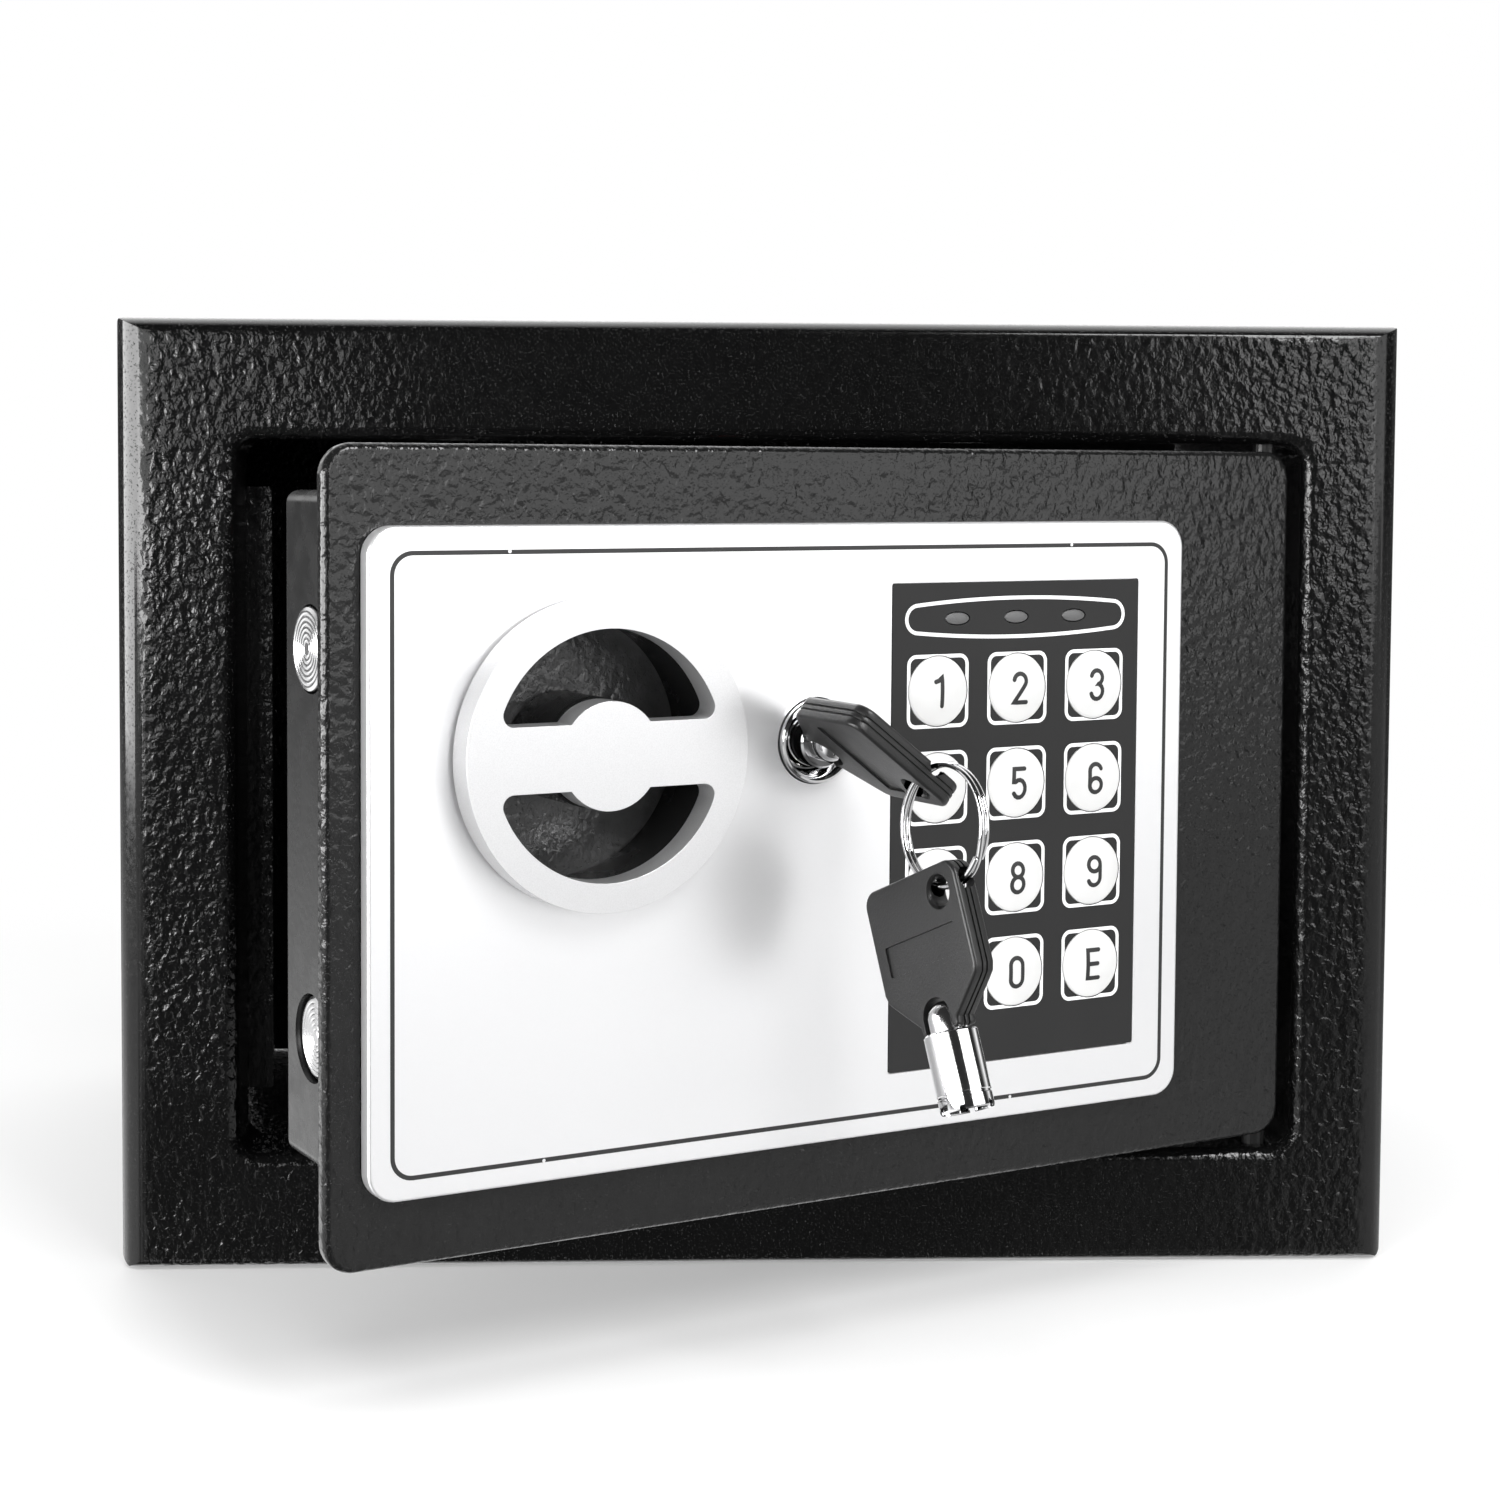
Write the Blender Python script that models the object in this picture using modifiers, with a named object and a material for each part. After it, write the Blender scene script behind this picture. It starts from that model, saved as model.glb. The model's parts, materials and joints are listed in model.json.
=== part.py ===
"""Small electronic wall safe with its door ajar: folded steel body, hinged door with a round knob, a
tubular cam lock with a key in it, a keypad, live bolts and the works inside the door.

Metres, +Z up. The body stands on z = 0 and its front faces -Y. Door pieces are drawn in the door's own
frame: u runs from the hinge side edge to the free edge, h outward from the face of the door, z up.
"""

import math

import bmesh
import bpy
from mathutils import Matrix, Vector

MM = 0.001

# Body
BODY_W = 230.0
BODY_D = 170.0
BODY_H = 170.0
SHEET = 1.5
SIDE_BEND = 4.5
TOP_BEND = 2.5
OPEN_X0 = -93.6
OPEN_X1 = 97.0
OPEN_Z0 = 20.6
OPEN_Z1 = 148.6
OPEN_CORNER = 4.0
LIP_END_Y = -70.0
FIXING_HOLE_R = 5.0
FIXING_HOLE_X = 62.0
FLOOR_HOLE_Y = 15.0
REAR_HOLE_Z = 105.0
KEEPER = (-95.1, -89.0, 29.2, 140.0)
KEEPER_Y0 = -69.7
KEEPER_Y1 = -67.9

# Door hinge and door plate
HINGE_X = 91.2
HINGE_Y = -79.7
AJAR_DEG = 26.3
HINGE_U = 1.5
HINGE_H = -5.3
ROD_R = 2.0
ROD_Z0 = 16.5
ROD_Z1 = 152.7
DOOR_W = 184.7
DOOR_Z0 = 23.4
DOOR_Z1 = 147.3
DOOR_T = 3.0
DOOR_CORNER = 5.0

# Folded box behind the door plate
BOX_U0 = 6.0
BOX_U1 = 177.5
BOX_Z0 = 33.6
BOX_Z1 = 140.0
BOX_H = -36.0
BOX_SHEET = 1.2
SCREWS = ((10.8, 38.4), (10.8, 135.2), (171.5, 135.2), (171.5, 38.4))
RESET_U = 92.0
RESET_Z = 122.0
RESET_R = 3.0

# Fascia, label and keys
FASCIA_U0 = 26.8
FASCIA_U1 = 178.9
FASCIA_Z0 = 34.3
FASCIA_Z1 = 135.1
FASCIA_T = 3.0
FASCIA_CORNER = 4.6
LABEL_U0 = 36.7
LABEL_U1 = 87.2
LABEL_Z0 = 44.3
LABEL_Z1 = 125.1
LABEL_FLOOR = 2.3
KEY_R = 5.75
KEY_U = (78.2, 62.1, 46.0)
KEY_Z = (107.2, 91.15, 75.1, 59.05)
KEY_NAMES = ("1", "2", "3", "4", "5", "6", "7", "8", "9", "clear", "0", "enter")
KEY_CLEAR = 0.2
LED_U = (74.4, 62.45, 50.5)
LED_Z = 119.15
LED_NAMES = ("left", "middle", "right")

# Knob and bolt work
KNOB_U = 141.8
KNOB_Z = 100.1
KNOB_R = 24.0
KNOB_H0 = 4.0
KNOB_H1 = 9.0
KNOB_OPEN_R = 19.4
KNOB_BAR = 5.05
KNOB_DISC_R = 8.4
WELL_R = 21.0
WELL_OUT_R = 22.2
WELL_FLOOR = -10.3
HUB_R = 8.6
SHAFT_R = 3.0
CRANK_R = 12.0
CRANK_DEG = 30.0
PIN_R = 1.5
CARRIAGE_U0 = 113.0
CARRIAGE_U1 = 148.0
CARRIAGE_Z0 = 48.0
CARRIAGE_Z1 = 124.0
CARRIAGE_H = -15.4
CARRIAGE_T = 1.6
FLANGE_H = -31.6
BOLT_R = 6.75
BOLT_Z = (115.3, 54.0)
BOLT_H = -24.3
BOLT_U0 = 148.3
BOLT_TIP_U = (178.1, 176.8)
BOLT_STUD_R = 2.5
BOLT_STUD_U = 142.5
BOLT_TRAVEL = 12.0
PLUNGER_U = 131.0
PLUNGER_R = 1.9
SOLENOID_H = -16.2

# Cam lock and its keys
LOCK_U = 101.8
LOCK_Z = 100.1
LOCK_R = 6.2
BEZEL_R = 6.85
PLUG_R = 4.95
TUBE_R = 4.2
TUBE_IN_R = 3.4
TUBE_LEN = 12.0
STUB_R = 3.0
HEAD_W = 22.6
HEAD_T = 3.9
HEAD_L = 24.4
HEAD_SHOULDER = 6.9
KEY_SEAT_H = 5.7
KEY_ROLL_DEG = 37.5
HEAD_HOLE_B = 6.6
HEAD_HOLE_A = 20.2
RING_R = 9.3
RING_WIRE = 0.9
RING_CENTRE = (22.4, -155.7, 89.7)
RING_NORMAL = (0.850, 0.520, -0.086)
SPARE_ORIGIN = (23.04, -160.05, 58.87)
SPARE_B = (0.498, -0.773, 0.392)
SPARE_A = (-0.182, 0.348, 0.920)

# Battery case
CASE_U0 = 16.0
CASE_U1 = 76.0
CASE_Z0 = 42.0
CASE_Z1 = 108.5
CELL_R = 7.2
CELL_LEN = 50.5
CELL_Z = (51.5, 66.5, 81.5, 96.5)
CELL_H = -26.4

FINISHES = {
    "textured_black": ((0.018, 0.018, 0.019), 0.32, 0.0),
    "smooth_black": ((0.035, 0.035, 0.037), 0.22, 0.0),
    "fascia_silver": ((0.80, 0.80, 0.79), 0.38, 0.25),
    "knob_silver": ((0.78, 0.78, 0.77), 0.34, 0.55),
    "label_charcoal": ((0.045, 0.045, 0.047), 0.45, 0.0),
    "key_white": ((0.82, 0.82, 0.80), 0.40, 0.0),
    "led_grey": ((0.22, 0.22, 0.23), 0.25, 0.0),
    "black_plastic": ((0.014, 0.014, 0.015), 0.36, 0.0),
    "chrome": ((0.86, 0.86, 0.85), 0.08, 1.0),
    "turned_steel": ((0.62, 0.61, 0.59), 0.24, 1.0),
    "zinc_steel": ((0.50, 0.50, 0.48), 0.38, 1.0),
    "board_green": ((0.02, 0.13, 0.06), 0.45, 0.0),
    "cell_sleeve": ((0.05, 0.05, 0.055), 0.35, 0.0),
    "button_red": ((0.55, 0.02, 0.02), 0.35, 0.0),
}


def clear_scene():
    for obj in list(bpy.data.objects):
        bpy.data.objects.remove(obj, do_unlink=True)


def new_collection(name):
    collection = bpy.data.collections.new(name)
    bpy.context.scene.collection.children.link(collection)
    return collection


def finish(name):
    found = bpy.data.materials.get(name)
    if found:
        return found
    colour, roughness, metallic = FINISHES[name]
    made = bpy.data.materials.new(name)
    made.use_nodes = True
    shader = made.node_tree.nodes["Principled BSDF"]
    shader.inputs["Base Color"].default_value = (*colour, 1.0)
    shader.inputs["Roughness"].default_value = roughness
    shader.inputs["Metallic"].default_value = metallic
    return made


def own_finish(obj, name):
    made = finish(name).copy()
    made.name = obj.name + "_finish"
    obj.data.materials.append(made)


def add_object(name, mesh, look=None, parent=None, smooth=True):
    obj = bpy.data.objects.new(name, mesh)
    if look:
        own_finish(obj, look)
        PARTS.objects.link(obj)
    else:
        obj.hide_render = True
        obj.display_type = "WIRE"
        CUTTERS.objects.link(obj)
    obj.parent = parent
    for face in mesh.polygons:
        face.use_smooth = smooth
    return obj


def mesh_of(name, bm):
    bmesh.ops.recalc_face_normals(bm, faces=bm.faces)
    mesh = bpy.data.meshes.new(name)
    bm.to_mesh(mesh)
    bm.free()
    return mesh


def rounded_rect(x0, x1, y0, y1, corners, steps=5):
    """Corner points of a rectangle; corners gives the radius at (x1,y1), (x0,y1), (x0,y0), (x1,y0)."""
    if not hasattr(corners, "__len__"):
        corners = (corners,) * 4
    spots = ((x1, y1, 0), (x0, y1, 90), (x0, y0, 180), (x1, y0, 270))
    points = []
    for (x, y, start), radius in zip(spots, corners):
        if radius <= 0:
            points.append((x, y))
            continue
        cx = x - radius if x == x1 else x + radius
        cy = y - radius if y == y1 else y + radius
        for i in range(steps + 1):
            a = math.radians(start + 90 * i / steps)
            points.append((cx + radius * math.cos(a), cy + radius * math.sin(a)))
    return points


def prism(name, outline, low, high, plane):
    """Mesh of an outline drawn in one plane and drawn out along the third axis, in mm."""
    order = {"xy": (0, 1, 2), "xz": (0, 2, 1), "yz": (1, 2, 0)}[plane]
    bm = bmesh.new()
    ring = []
    for p, q in outline:
        co = [0.0, 0.0, 0.0]
        co[order[0]] = p * MM
        co[order[1]] = q * MM
        co[order[2]] = low * MM
        ring.append(bm.verts.new(co))
    face = bm.faces.new(ring)
    grown = bmesh.ops.extrude_face_region(bm, geom=[face])
    moved = [v for v in grown["geom"] if isinstance(v, bmesh.types.BMVert)]
    step = [0.0, 0.0, 0.0]
    step[order[2]] = (high - low) * MM
    bmesh.ops.translate(bm, verts=moved, vec=step)
    return mesh_of(name, bm)


def door_xy(u, h):
    return (HINGE_U - u, HINGE_H - h)


def door_slab(name, u0, u1, z0, z1, h0, h1, radius, look=None, steps=5, parent=None):
    """Rounded plate lying in the plane of the door, from h0 to h1."""
    outline = rounded_rect(HINGE_U - u1, HINGE_U - u0, z0, z1, radius, steps)
    low, high = HINGE_H - h1, HINGE_H - h0
    return add_object(name, prism(name, outline, low, high, "xz"), look, parent or DOOR, smooth=False)


def cylinder(name, radius, low, high, look=None, parent=None, sides=32):
    """Cylinder along its own Z, in mm."""
    bm = bmesh.new()
    depth = high - low
    bmesh.ops.create_cone(
        bm, cap_ends=True, segments=sides, radius1=radius * MM, radius2=radius * MM, depth=depth * MM
    )
    bmesh.ops.translate(bm, verts=bm.verts, vec=(0, 0, (low + depth / 2) * MM))
    return add_object(name, mesh_of(name, bm), look, parent)


def outward(obj, u, z, parent=None):
    """Stands a piece drawn along its own Z on the door at (u, z), its Z along the door's outward normal."""
    x, y = door_xy(u, 0)
    obj.parent = parent or DOOR
    obj.location = Vector((x, y, z)) * MM
    obj.rotation_euler = (math.radians(90), 0, 0)
    return obj


def turned(name, profile, look, steps=32):
    """Solid turned about its own Z from (radius, height) points listed down the outer side, in mm."""
    mesh = bpy.data.meshes.new(name)
    points = [(r * MM, 0, h * MM) for r, h in profile]
    edges = [(i, i + 1) for i in range(len(points) - 1)]
    if profile[0][0] > 0:
        edges.append((len(points) - 1, 0))
    mesh.from_pydata(points, edges, [])
    obj = add_object(name, mesh, look)
    screw = obj.modifiers.new("Turn", "SCREW")
    screw.axis = "Z"
    screw.steps = steps
    screw.render_steps = steps
    screw.use_merge_vertices = True
    screw.merge_threshold = 0.00001
    screw.use_smooth_shade = True
    return obj


def boolean(obj, other, operation="DIFFERENCE"):
    cut = obj.modifiers.new(operation.title(), "BOOLEAN")
    cut.operation = operation
    cut.solver = "EXACT"
    cut.object = other
    return obj


def bevel(obj, width, segments=2, angle=40):
    soft = obj.modifiers.new("Bevel", "BEVEL")
    soft.width = width * MM
    soft.segments = segments
    soft.limit_method = "ANGLE"
    soft.angle_limit = math.radians(angle)
    soft.use_clamp_overlap = True
    return obj


def drill(obj, radius, u, z, h0, h1, sides=32, tag="bore"):
    tool = cylinder(f"cut_{obj.name}_{tag}", radius, h0, h1, sides=sides)
    outward(tool, u, z)
    return boolean(obj, tool)


def body_block(name, inset, y1, look=None):
    """Box with the body's bends: plan outline and side profile, intersected."""
    w = BODY_W / 2 - inset
    y0 = -BODY_D / 2 + inset
    side = max(SIDE_BEND - inset, 0.5)
    top = max(TOP_BEND - inset, 0.5)
    plan = rounded_rect(-w, w, y0, y1, (0, 0, side, side), 6)
    profile = rounded_rect(y0, y1, inset, BODY_H - inset, (0, top, top, 0), 4)
    block = add_object(name, prism(name, plan, inset, BODY_H - inset, "xy"), look, smooth=False)
    limit = add_object(name + "_limit", prism(name + "_limit", profile, -w, w, "yz"))
    return boolean(block, limit, "INTERSECT")


def build_body():
    shell = body_block("body_shell", 0.0, BODY_D / 2, "textured_black")
    cavity = body_block("cut_cavity", SHEET, BODY_D / 2 + 5)
    boolean(shell, cavity)
    x0, x1, z0, z1 = OPEN_X0, OPEN_X1, OPEN_Z0, OPEN_Z1
    frame = rounded_rect(x0 - SHEET, x1 + SHEET, z0 - SHEET, z1 + SHEET, OPEN_CORNER + SHEET, 5)
    lip = add_object("lip_block", prism("lip_block", frame, -BODY_D / 2 + 0.7, LIP_END_Y, "xz"))
    boolean(shell, lip, "UNION")
    hole = rounded_rect(x0, x1, z0, z1, OPEN_CORNER, 5)
    boolean(shell, add_object("cut_opening", prism("cut_opening", hole, -90, LIP_END_Y + 5, "xz")))
    for side in (-1, 1):
        tool = cylinder(f"cut_floor_{side + 1}", FIXING_HOLE_R, -2, 4, sides=24)
        tool.location = Vector((side * FIXING_HOLE_X, FLOOR_HOLE_Y, 0)) * MM
        boolean(shell, tool)
    pivot = cylinder("cut_pivot", ROD_R + 0.3, 10, 160, sides=24)
    pivot.location = Vector((HINGE_X, HINGE_Y, 0)) * MM
    boolean(shell, pivot)
    build_rear_panel()
    bar = rounded_rect(*KEEPER, 0.6, 2)
    solid = prism("keeper_bar", bar, KEEPER_Y0, KEEPER_Y1, "xz")
    add_object("keeper_bar", solid, "textured_black", smooth=False)


def build_rear_panel():
    gap = SHEET + 0.3
    w = BODY_W / 2 - gap
    outline = rounded_rect(-w, w, gap, BODY_H - gap, 1.0, 2)
    y1 = BODY_D / 2
    panel = add_object("rear_panel", prism("rear_panel", outline, y1 - SHEET, y1, "xz"), "textured_black")
    for side in (-1, 1):
        tool = cylinder(f"cut_rear_{side + 1}", FIXING_HOLE_R, y1 - 5, y1 + 5, sides=24)
        tool.rotation_euler = (math.radians(-90), 0, 0)
        tool.location = Vector((side * FIXING_HOLE_X, 0, REAR_HOLE_Z)) * MM
        boolean(panel, tool)


def build_door_plate():
    plate = door_slab("door_plate", 0, DOOR_W, DOOR_Z0, DOOR_Z1, -DOOR_T, 0, DOOR_CORNER, "textured_black")
    bevel(plate, 1.1, 2)
    drill(plate, WELL_OUT_R + 0.3, KNOB_U, KNOB_Z, -8, 5, 40, "well")
    drill(plate, LOCK_R + 0.3, LOCK_U, LOCK_Z, -8, 5, 24, "lock")
    rod = cylinder("hinge_rod", ROD_R, ROD_Z0, ROD_Z1, "zinc_steel", DOOR, 20)
    bevel(rod, 0.4, 1)


def build_inner_box():
    u0, u1, z0, z1 = BOX_U0, BOX_U1, BOX_Z0, BOX_Z1
    box = door_slab("door_inner_box", u0, u1, z0, z1, BOX_H, -DOOR_T - 0.3, 2.0, "smooth_black", 3)
    bevel(box, 0.8, 1, 60)
    t = BOX_SHEET
    room = door_slab("cut_box_room", u0 + t, u1 - t, z0 + t, z1 - t, BOX_H + t, 2, 1.0, None, 3)
    boolean(box, room)
    window = (CASE_U0 + 2, CASE_U1 - 2, CASE_Z0 + 2, CASE_Z1 - 2)
    boolean(box, door_slab("cut_box_window", *window, BOX_H - 4, -30, 1.5))
    for i, z in enumerate(BOLT_Z):
        tool = cylinder(f"cut_box_bolt_{i}", BOLT_R + 0.3, BOX_U1 - 8, BOX_U1 + 8, sides=32)
        along_u(tool, z, BOLT_H)
        boolean(box, tool)
    for i, (u, z) in enumerate(SCREWS):
        drill(box, 2.1, u, z, BOX_H - 3, BOX_H + 3, 16, f"screw_{i}")
    drill(box, RESET_R + 0.3, RESET_U, RESET_Z, BOX_H - 3, BOX_H + 3, 20, "reset")
    for i, (u, z) in enumerate(SCREWS):
        profile = ((0, -3.4), (1.8, -3.4), (1.8, -36.3), (3.6, -36.3), (3.6, -37.0), (2.6, -38.4), (0, -38.6))
        screw = turned(f"cover_screw_{i + 1}", profile, "zinc_steel", 16)
        outward(screw, u, z)


def along_u(obj, z, h):
    """Lays a piece drawn along its own Z so that its Z runs with u."""
    obj.parent = DOOR
    obj.location = Vector((HINGE_U, HINGE_H - h, z)) * MM
    obj.rotation_euler = (0, math.radians(-90), 0)
    return obj


def build_fascia():
    args = (FASCIA_U0, FASCIA_U1, FASCIA_Z0, FASCIA_Z1, 0.25, FASCIA_T, FASCIA_CORNER)
    fascia = door_slab("fascia", *args, "fascia_silver", 7)
    bevel(fascia, 0.7, 1)
    recess = (LABEL_U0 - 0.15, LABEL_U1 + 0.15, LABEL_Z0 - 0.15, LABEL_Z1 + 0.15)
    boolean(fascia, door_slab("cut_label_recess", *recess, LABEL_FLOOR, 6, 0.5, None, 2))
    drill(fascia, WELL_OUT_R + 0.3, KNOB_U, KNOB_Z, -3, 8, 40, "well")
    drill(fascia, BEZEL_R + 0.2, LOCK_U, LOCK_Z, -3, 8, 32, "lock")
    sheet = (LABEL_U0, LABEL_U1, LABEL_Z0, LABEL_Z1)
    label = door_slab("keypad_label", *sheet, 2.5, 3.1, 0.4, "label_charcoal", 2)
    spots = [(u, z) for z in KEY_Z for u in KEY_U]
    for (u, z), name in zip(spots, KEY_NAMES):
        for plate in (fascia, label):
            drill(plate, KEY_R + KEY_CLEAR, u, z, -3, 8, 16, "key_" + name)
        profile = ((0, 4.05), (3.2, 3.8), (5.2, 3.35), (KEY_R, 3.0), (KEY_R, 1.2), (0, 1.2))
        outward(turned("key_" + name, profile, "key_white", 16), u, z)
    for u, name in zip(LED_U, LED_NAMES):
        slot = (u - 2.6, u + 2.6, LED_Z - 1.2, LED_Z + 1.2)
        tool = door_slab("cut_led_" + name, *slot, -3, 8, 1.19, None, 4)
        boolean(fascia, tool)
        boolean(label, tool)
        lens = (u - 2.4, u + 2.4, LED_Z - 1.0, LED_Z + 1.0)
        door_slab("led_lens_" + name, *lens, 0.6, 3.25, 0.99, "led_grey", 4)


def d_opening(side):
    """Outline of one finger opening of the knob, above (+1) or below (-1) the crossbar."""
    fillet = 1.8
    inner = KNOB_OPEN_R - fillet
    corner_z = KNOB_BAR + fillet
    corner_x = math.sqrt(inner**2 - corner_z**2)
    out_deg = math.degrees(math.atan2(corner_z, corner_x))
    disc_x = math.sqrt(KNOB_DISC_R**2 - KNOB_BAR**2)
    disc_deg = math.degrees(math.atan2(KNOB_BAR, disc_x))
    points = []
    for i in range(5):
        a = math.radians(-90 + (90 + out_deg) * i / 4)
        points.append((corner_x + fillet * math.cos(a), corner_z + fillet * math.sin(a)))
    for i in range(1, 18):
        a = math.radians(out_deg + (180 - 2 * out_deg) * i / 18)
        points.append((KNOB_OPEN_R * math.cos(a), KNOB_OPEN_R * math.sin(a)))
    for i in range(5):
        a = math.radians(180 - out_deg + (90 + out_deg) * i / 4)
        points.append((-corner_x + fillet * math.cos(a), corner_z + fillet * math.sin(a)))
    for i in range(9):
        a = math.radians(180 - disc_deg - (180 - 2 * disc_deg) * i / 8)
        points.append((KNOB_DISC_R * math.cos(a), KNOB_DISC_R * math.sin(a)))
    return [(x, side * z) for x, z in points]


def build_knob():
    h0, h1, r = KNOB_H0, KNOB_H1, KNOB_R
    profile = ((0, h1), (r - 0.4, h1), (r, h1 - 0.4), (r, h0 + 0.3), (r - 0.3, h0), (0, h0))
    knob = turned("knob", profile, "knob_silver", 48)
    outward(knob, KNOB_U, KNOB_Z)
    for side in (1, -1):
        name = "cut_knob_upper" if side > 0 else "cut_knob_lower"
        tool = add_object(name, prism(name, d_opening(side), -2, 16, "xy"))
        outward(tool, KNOB_U, KNOB_Z)
        boolean(knob, tool)
    sleeve = ((WELL_OUT_R, 3.0), (WELL_OUT_R, WELL_FLOOR + 0.3), (WELL_R, WELL_FLOOR + 0.3), (WELL_R, 3.0))
    outward(turned("knob_well", sleeve, "black_plastic", 36), KNOB_U, KNOB_Z)
    top = h0 - 0.3
    hub = ((0, top), (7.6, top), (HUB_R, 2.8), (HUB_R, -10.0), (SHAFT_R, -10.0), (SHAFT_R, -15.1), (0, -15.1))
    outward(turned("knob_hub", hub, "black_plastic", 24), KNOB_U, KNOB_Z)
    build_base_plate()
    build_crank()


def build_base_plate():
    """Hat-shaped plate behind the knob well, with legs that reach the back of the door plate."""
    top = WELL_FLOOR
    outline = [
        (124.7, -3.3), (124.7, top - 2), (75.5, top - 2), (75.5, -3.3), (77.3, -3.3), (77.3, top),
        (122.9, top), (122.9, -3.3),
    ]
    points = [(HINGE_H - h, z) for z, h in outline]
    low, high = HINGE_U - 166.0, HINGE_U - 118.0
    plate = add_object(
        "lock_base_plate", prism("lock_base_plate", points, low, high, "yz"), "textured_black", DOOR, False
    )
    drill(plate, SHAFT_R + 0.3, KNOB_U, KNOB_Z, -16, -8, 24, "shaft")


def build_crank():
    reach = CRANK_R
    outline = []
    for i in range(9):
        a = math.radians(180 + 180 * i / 8)
        outline.append((7.0 * math.cos(a), 7.0 * math.sin(a)))
    for i in range(7):
        a = math.radians(180 * i / 6)
        outline.append((3.6 * math.cos(a), reach + 3.6 * math.sin(a)))
    arm = prism("knob_crank", outline, -14.9, -12.6, "xy")
    crank = add_object("knob_crank", arm, "zinc_steel", smooth=False)
    pin = cylinder("crank_pin", PIN_R, -17.6, -14.0, sides=16)
    pin.location = (0, reach * MM, 0)
    pin.parent = crank
    boolean(crank, pin, "UNION")
    bore = cylinder("cut_crank_bore", SHAFT_R + 0.3, -18, -10, sides=24)
    bore.parent = crank
    boolean(crank, bore)
    outward(crank, KNOB_U, KNOB_Z)
    crank.rotation_euler = (math.radians(90), math.radians(CRANK_DEG), 0)


def build_bolt_work():
    u0, u1, h0, t = CARRIAGE_U0, CARRIAGE_U1, CARRIAGE_H, CARRIAGE_T
    outline = ((u0, h0), (u1, h0), (u1, FLANGE_H), (u1 - t, FLANGE_H), (u1 - t, h0 - t), (u0, h0 - t))
    points = [door_xy(u, h) for u, h in outline]
    solid = prism("bolt_carriage", points, CARRIAGE_Z0, CARRIAGE_Z1, "xy")
    carriage = add_object("bolt_carriage", solid, "zinc_steel", DOOR, False)
    start = KNOB_U - CRANK_R * math.sin(math.radians(CRANK_DEG))
    slot = (start - PIN_R - 0.3, start + PIN_R + 0.3, KNOB_Z + 7.6, KNOB_Z + 14.8)
    boolean(carriage, door_slab("cut_crank_slot", *slot, -20, -12, 1.7, None, 4))
    for i, u in enumerate((PLUNGER_U, PLUNGER_U - BOLT_TRAVEL)):
        notch = (u - 2.5, u + 2.5, CARRIAGE_Z0 - 3, CARRIAGE_Z0 + 5.5)
        boolean(carriage, door_slab(f"cut_notch_{i}", *notch, -20, -12, 0.8, None, 2))
    window = (KNOB_U - 25, KNOB_U + 3, 66, 104)
    boolean(carriage, door_slab("cut_carriage_window", *window, -20, -12, 2.0, None, 3))
    for name, z, tip in zip(("upper", "lower"), BOLT_Z, BOLT_TIP_U):
        tool = cylinder(f"cut_tail_{name}", BOLT_STUD_R + 0.3, u1 - 8, u1 + 4, sides=20)
        boolean(carriage, along_u(tool, z, BOLT_H))
        r, stud = BOLT_R, BOLT_STUD_R
        profile = (
            (0, tip), (r - 0.7, tip), (r, tip - 0.7), (r, BOLT_U0), (stud, BOLT_U0), (stud, BOLT_STUD_U),
            (0, BOLT_STUD_U),
        )
        along_u(turned("bolt_" + name, profile, "turned_steel", 24), z, BOLT_H)


def build_solenoid():
    args = (PLUNGER_U - 10, PLUNGER_U + 10, 35.1, 45.1, -22.2, -10.2, 0.6)
    body = door_slab("solenoid_body", *args, "zinc_steel", 2)
    bore = cylinder("cut_solenoid_bore", PLUNGER_R + 0.3, 37.5, 50, None, DOOR, 20)
    bore.location = Vector((HINGE_U - PLUNGER_U, HINGE_H - SOLENOID_H, 0)) * MM
    boolean(body, bore)
    plunger = cylinder("solenoid_plunger", PLUNGER_R, 38.0, 46.9, "turned_steel", DOOR, 20)
    plunger.location = Vector((HINGE_U - PLUNGER_U, HINGE_H - SOLENOID_H, 0)) * MM
    bevel(plunger, 0.4, 1)


def build_lock():
    bore = PLUG_R + 0.2
    body = (
        (BEZEL_R - 0.5, 4.2), (BEZEL_R, 3.7), (BEZEL_R, 1.0), (LOCK_R, 0.2), (LOCK_R, -12.0), (bore, -12.0),
        (bore, 1.1), (5.9, 3.6),
    )
    outward(turned("lock_body", body, "chrome", 28), LOCK_U, LOCK_Z)
    groove_out, groove_in = TUBE_R + 0.2, TUBE_IN_R - 0.25
    plug = (
        (0, 0.7), (groove_in - 0.3, 0.7), (groove_in, 0.4), (groove_in, -7.0), (groove_out, -7.0),
        (groove_out, 0.8), (PLUG_R, 0.8), (PLUG_R, -12.6), (0, -12.6),
    )
    outward(turned("lock_plug", plug, "chrome", 24), LOCK_U, LOCK_Z)
    nut = cylinder("lock_nut", 9.2, -6.1, -3.4, "zinc_steel", DOOR, 6)
    outward(nut, LOCK_U, LOCK_Z)
    drill(nut, LOCK_R + 0.25, LOCK_U, LOCK_Z, -9, 0, 32)
    outline = rounded_rect(-4.0, 4.0, -15.0, 4.0, (4.0, 4.0, 2.0, 2.0), 5)
    solid = prism("lock_tailpiece", outline, -14.7, -12.9, "xy")
    tail = add_object("lock_tailpiece", solid, "zinc_steel", smooth=False)
    outward(tail, LOCK_U, LOCK_Z)


def key_frame(origin, across, along):
    """Matrix whose columns are across the head, through its thickness and along the key."""
    b = Vector(across).normalized()
    a = (Vector(along) - b * Vector(along).dot(b)).normalized()
    c = a.cross(b)
    turn = Matrix((b, c, a)).transposed().to_4x4()
    return Matrix.Translation(Vector(origin) * MM) @ turn


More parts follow.
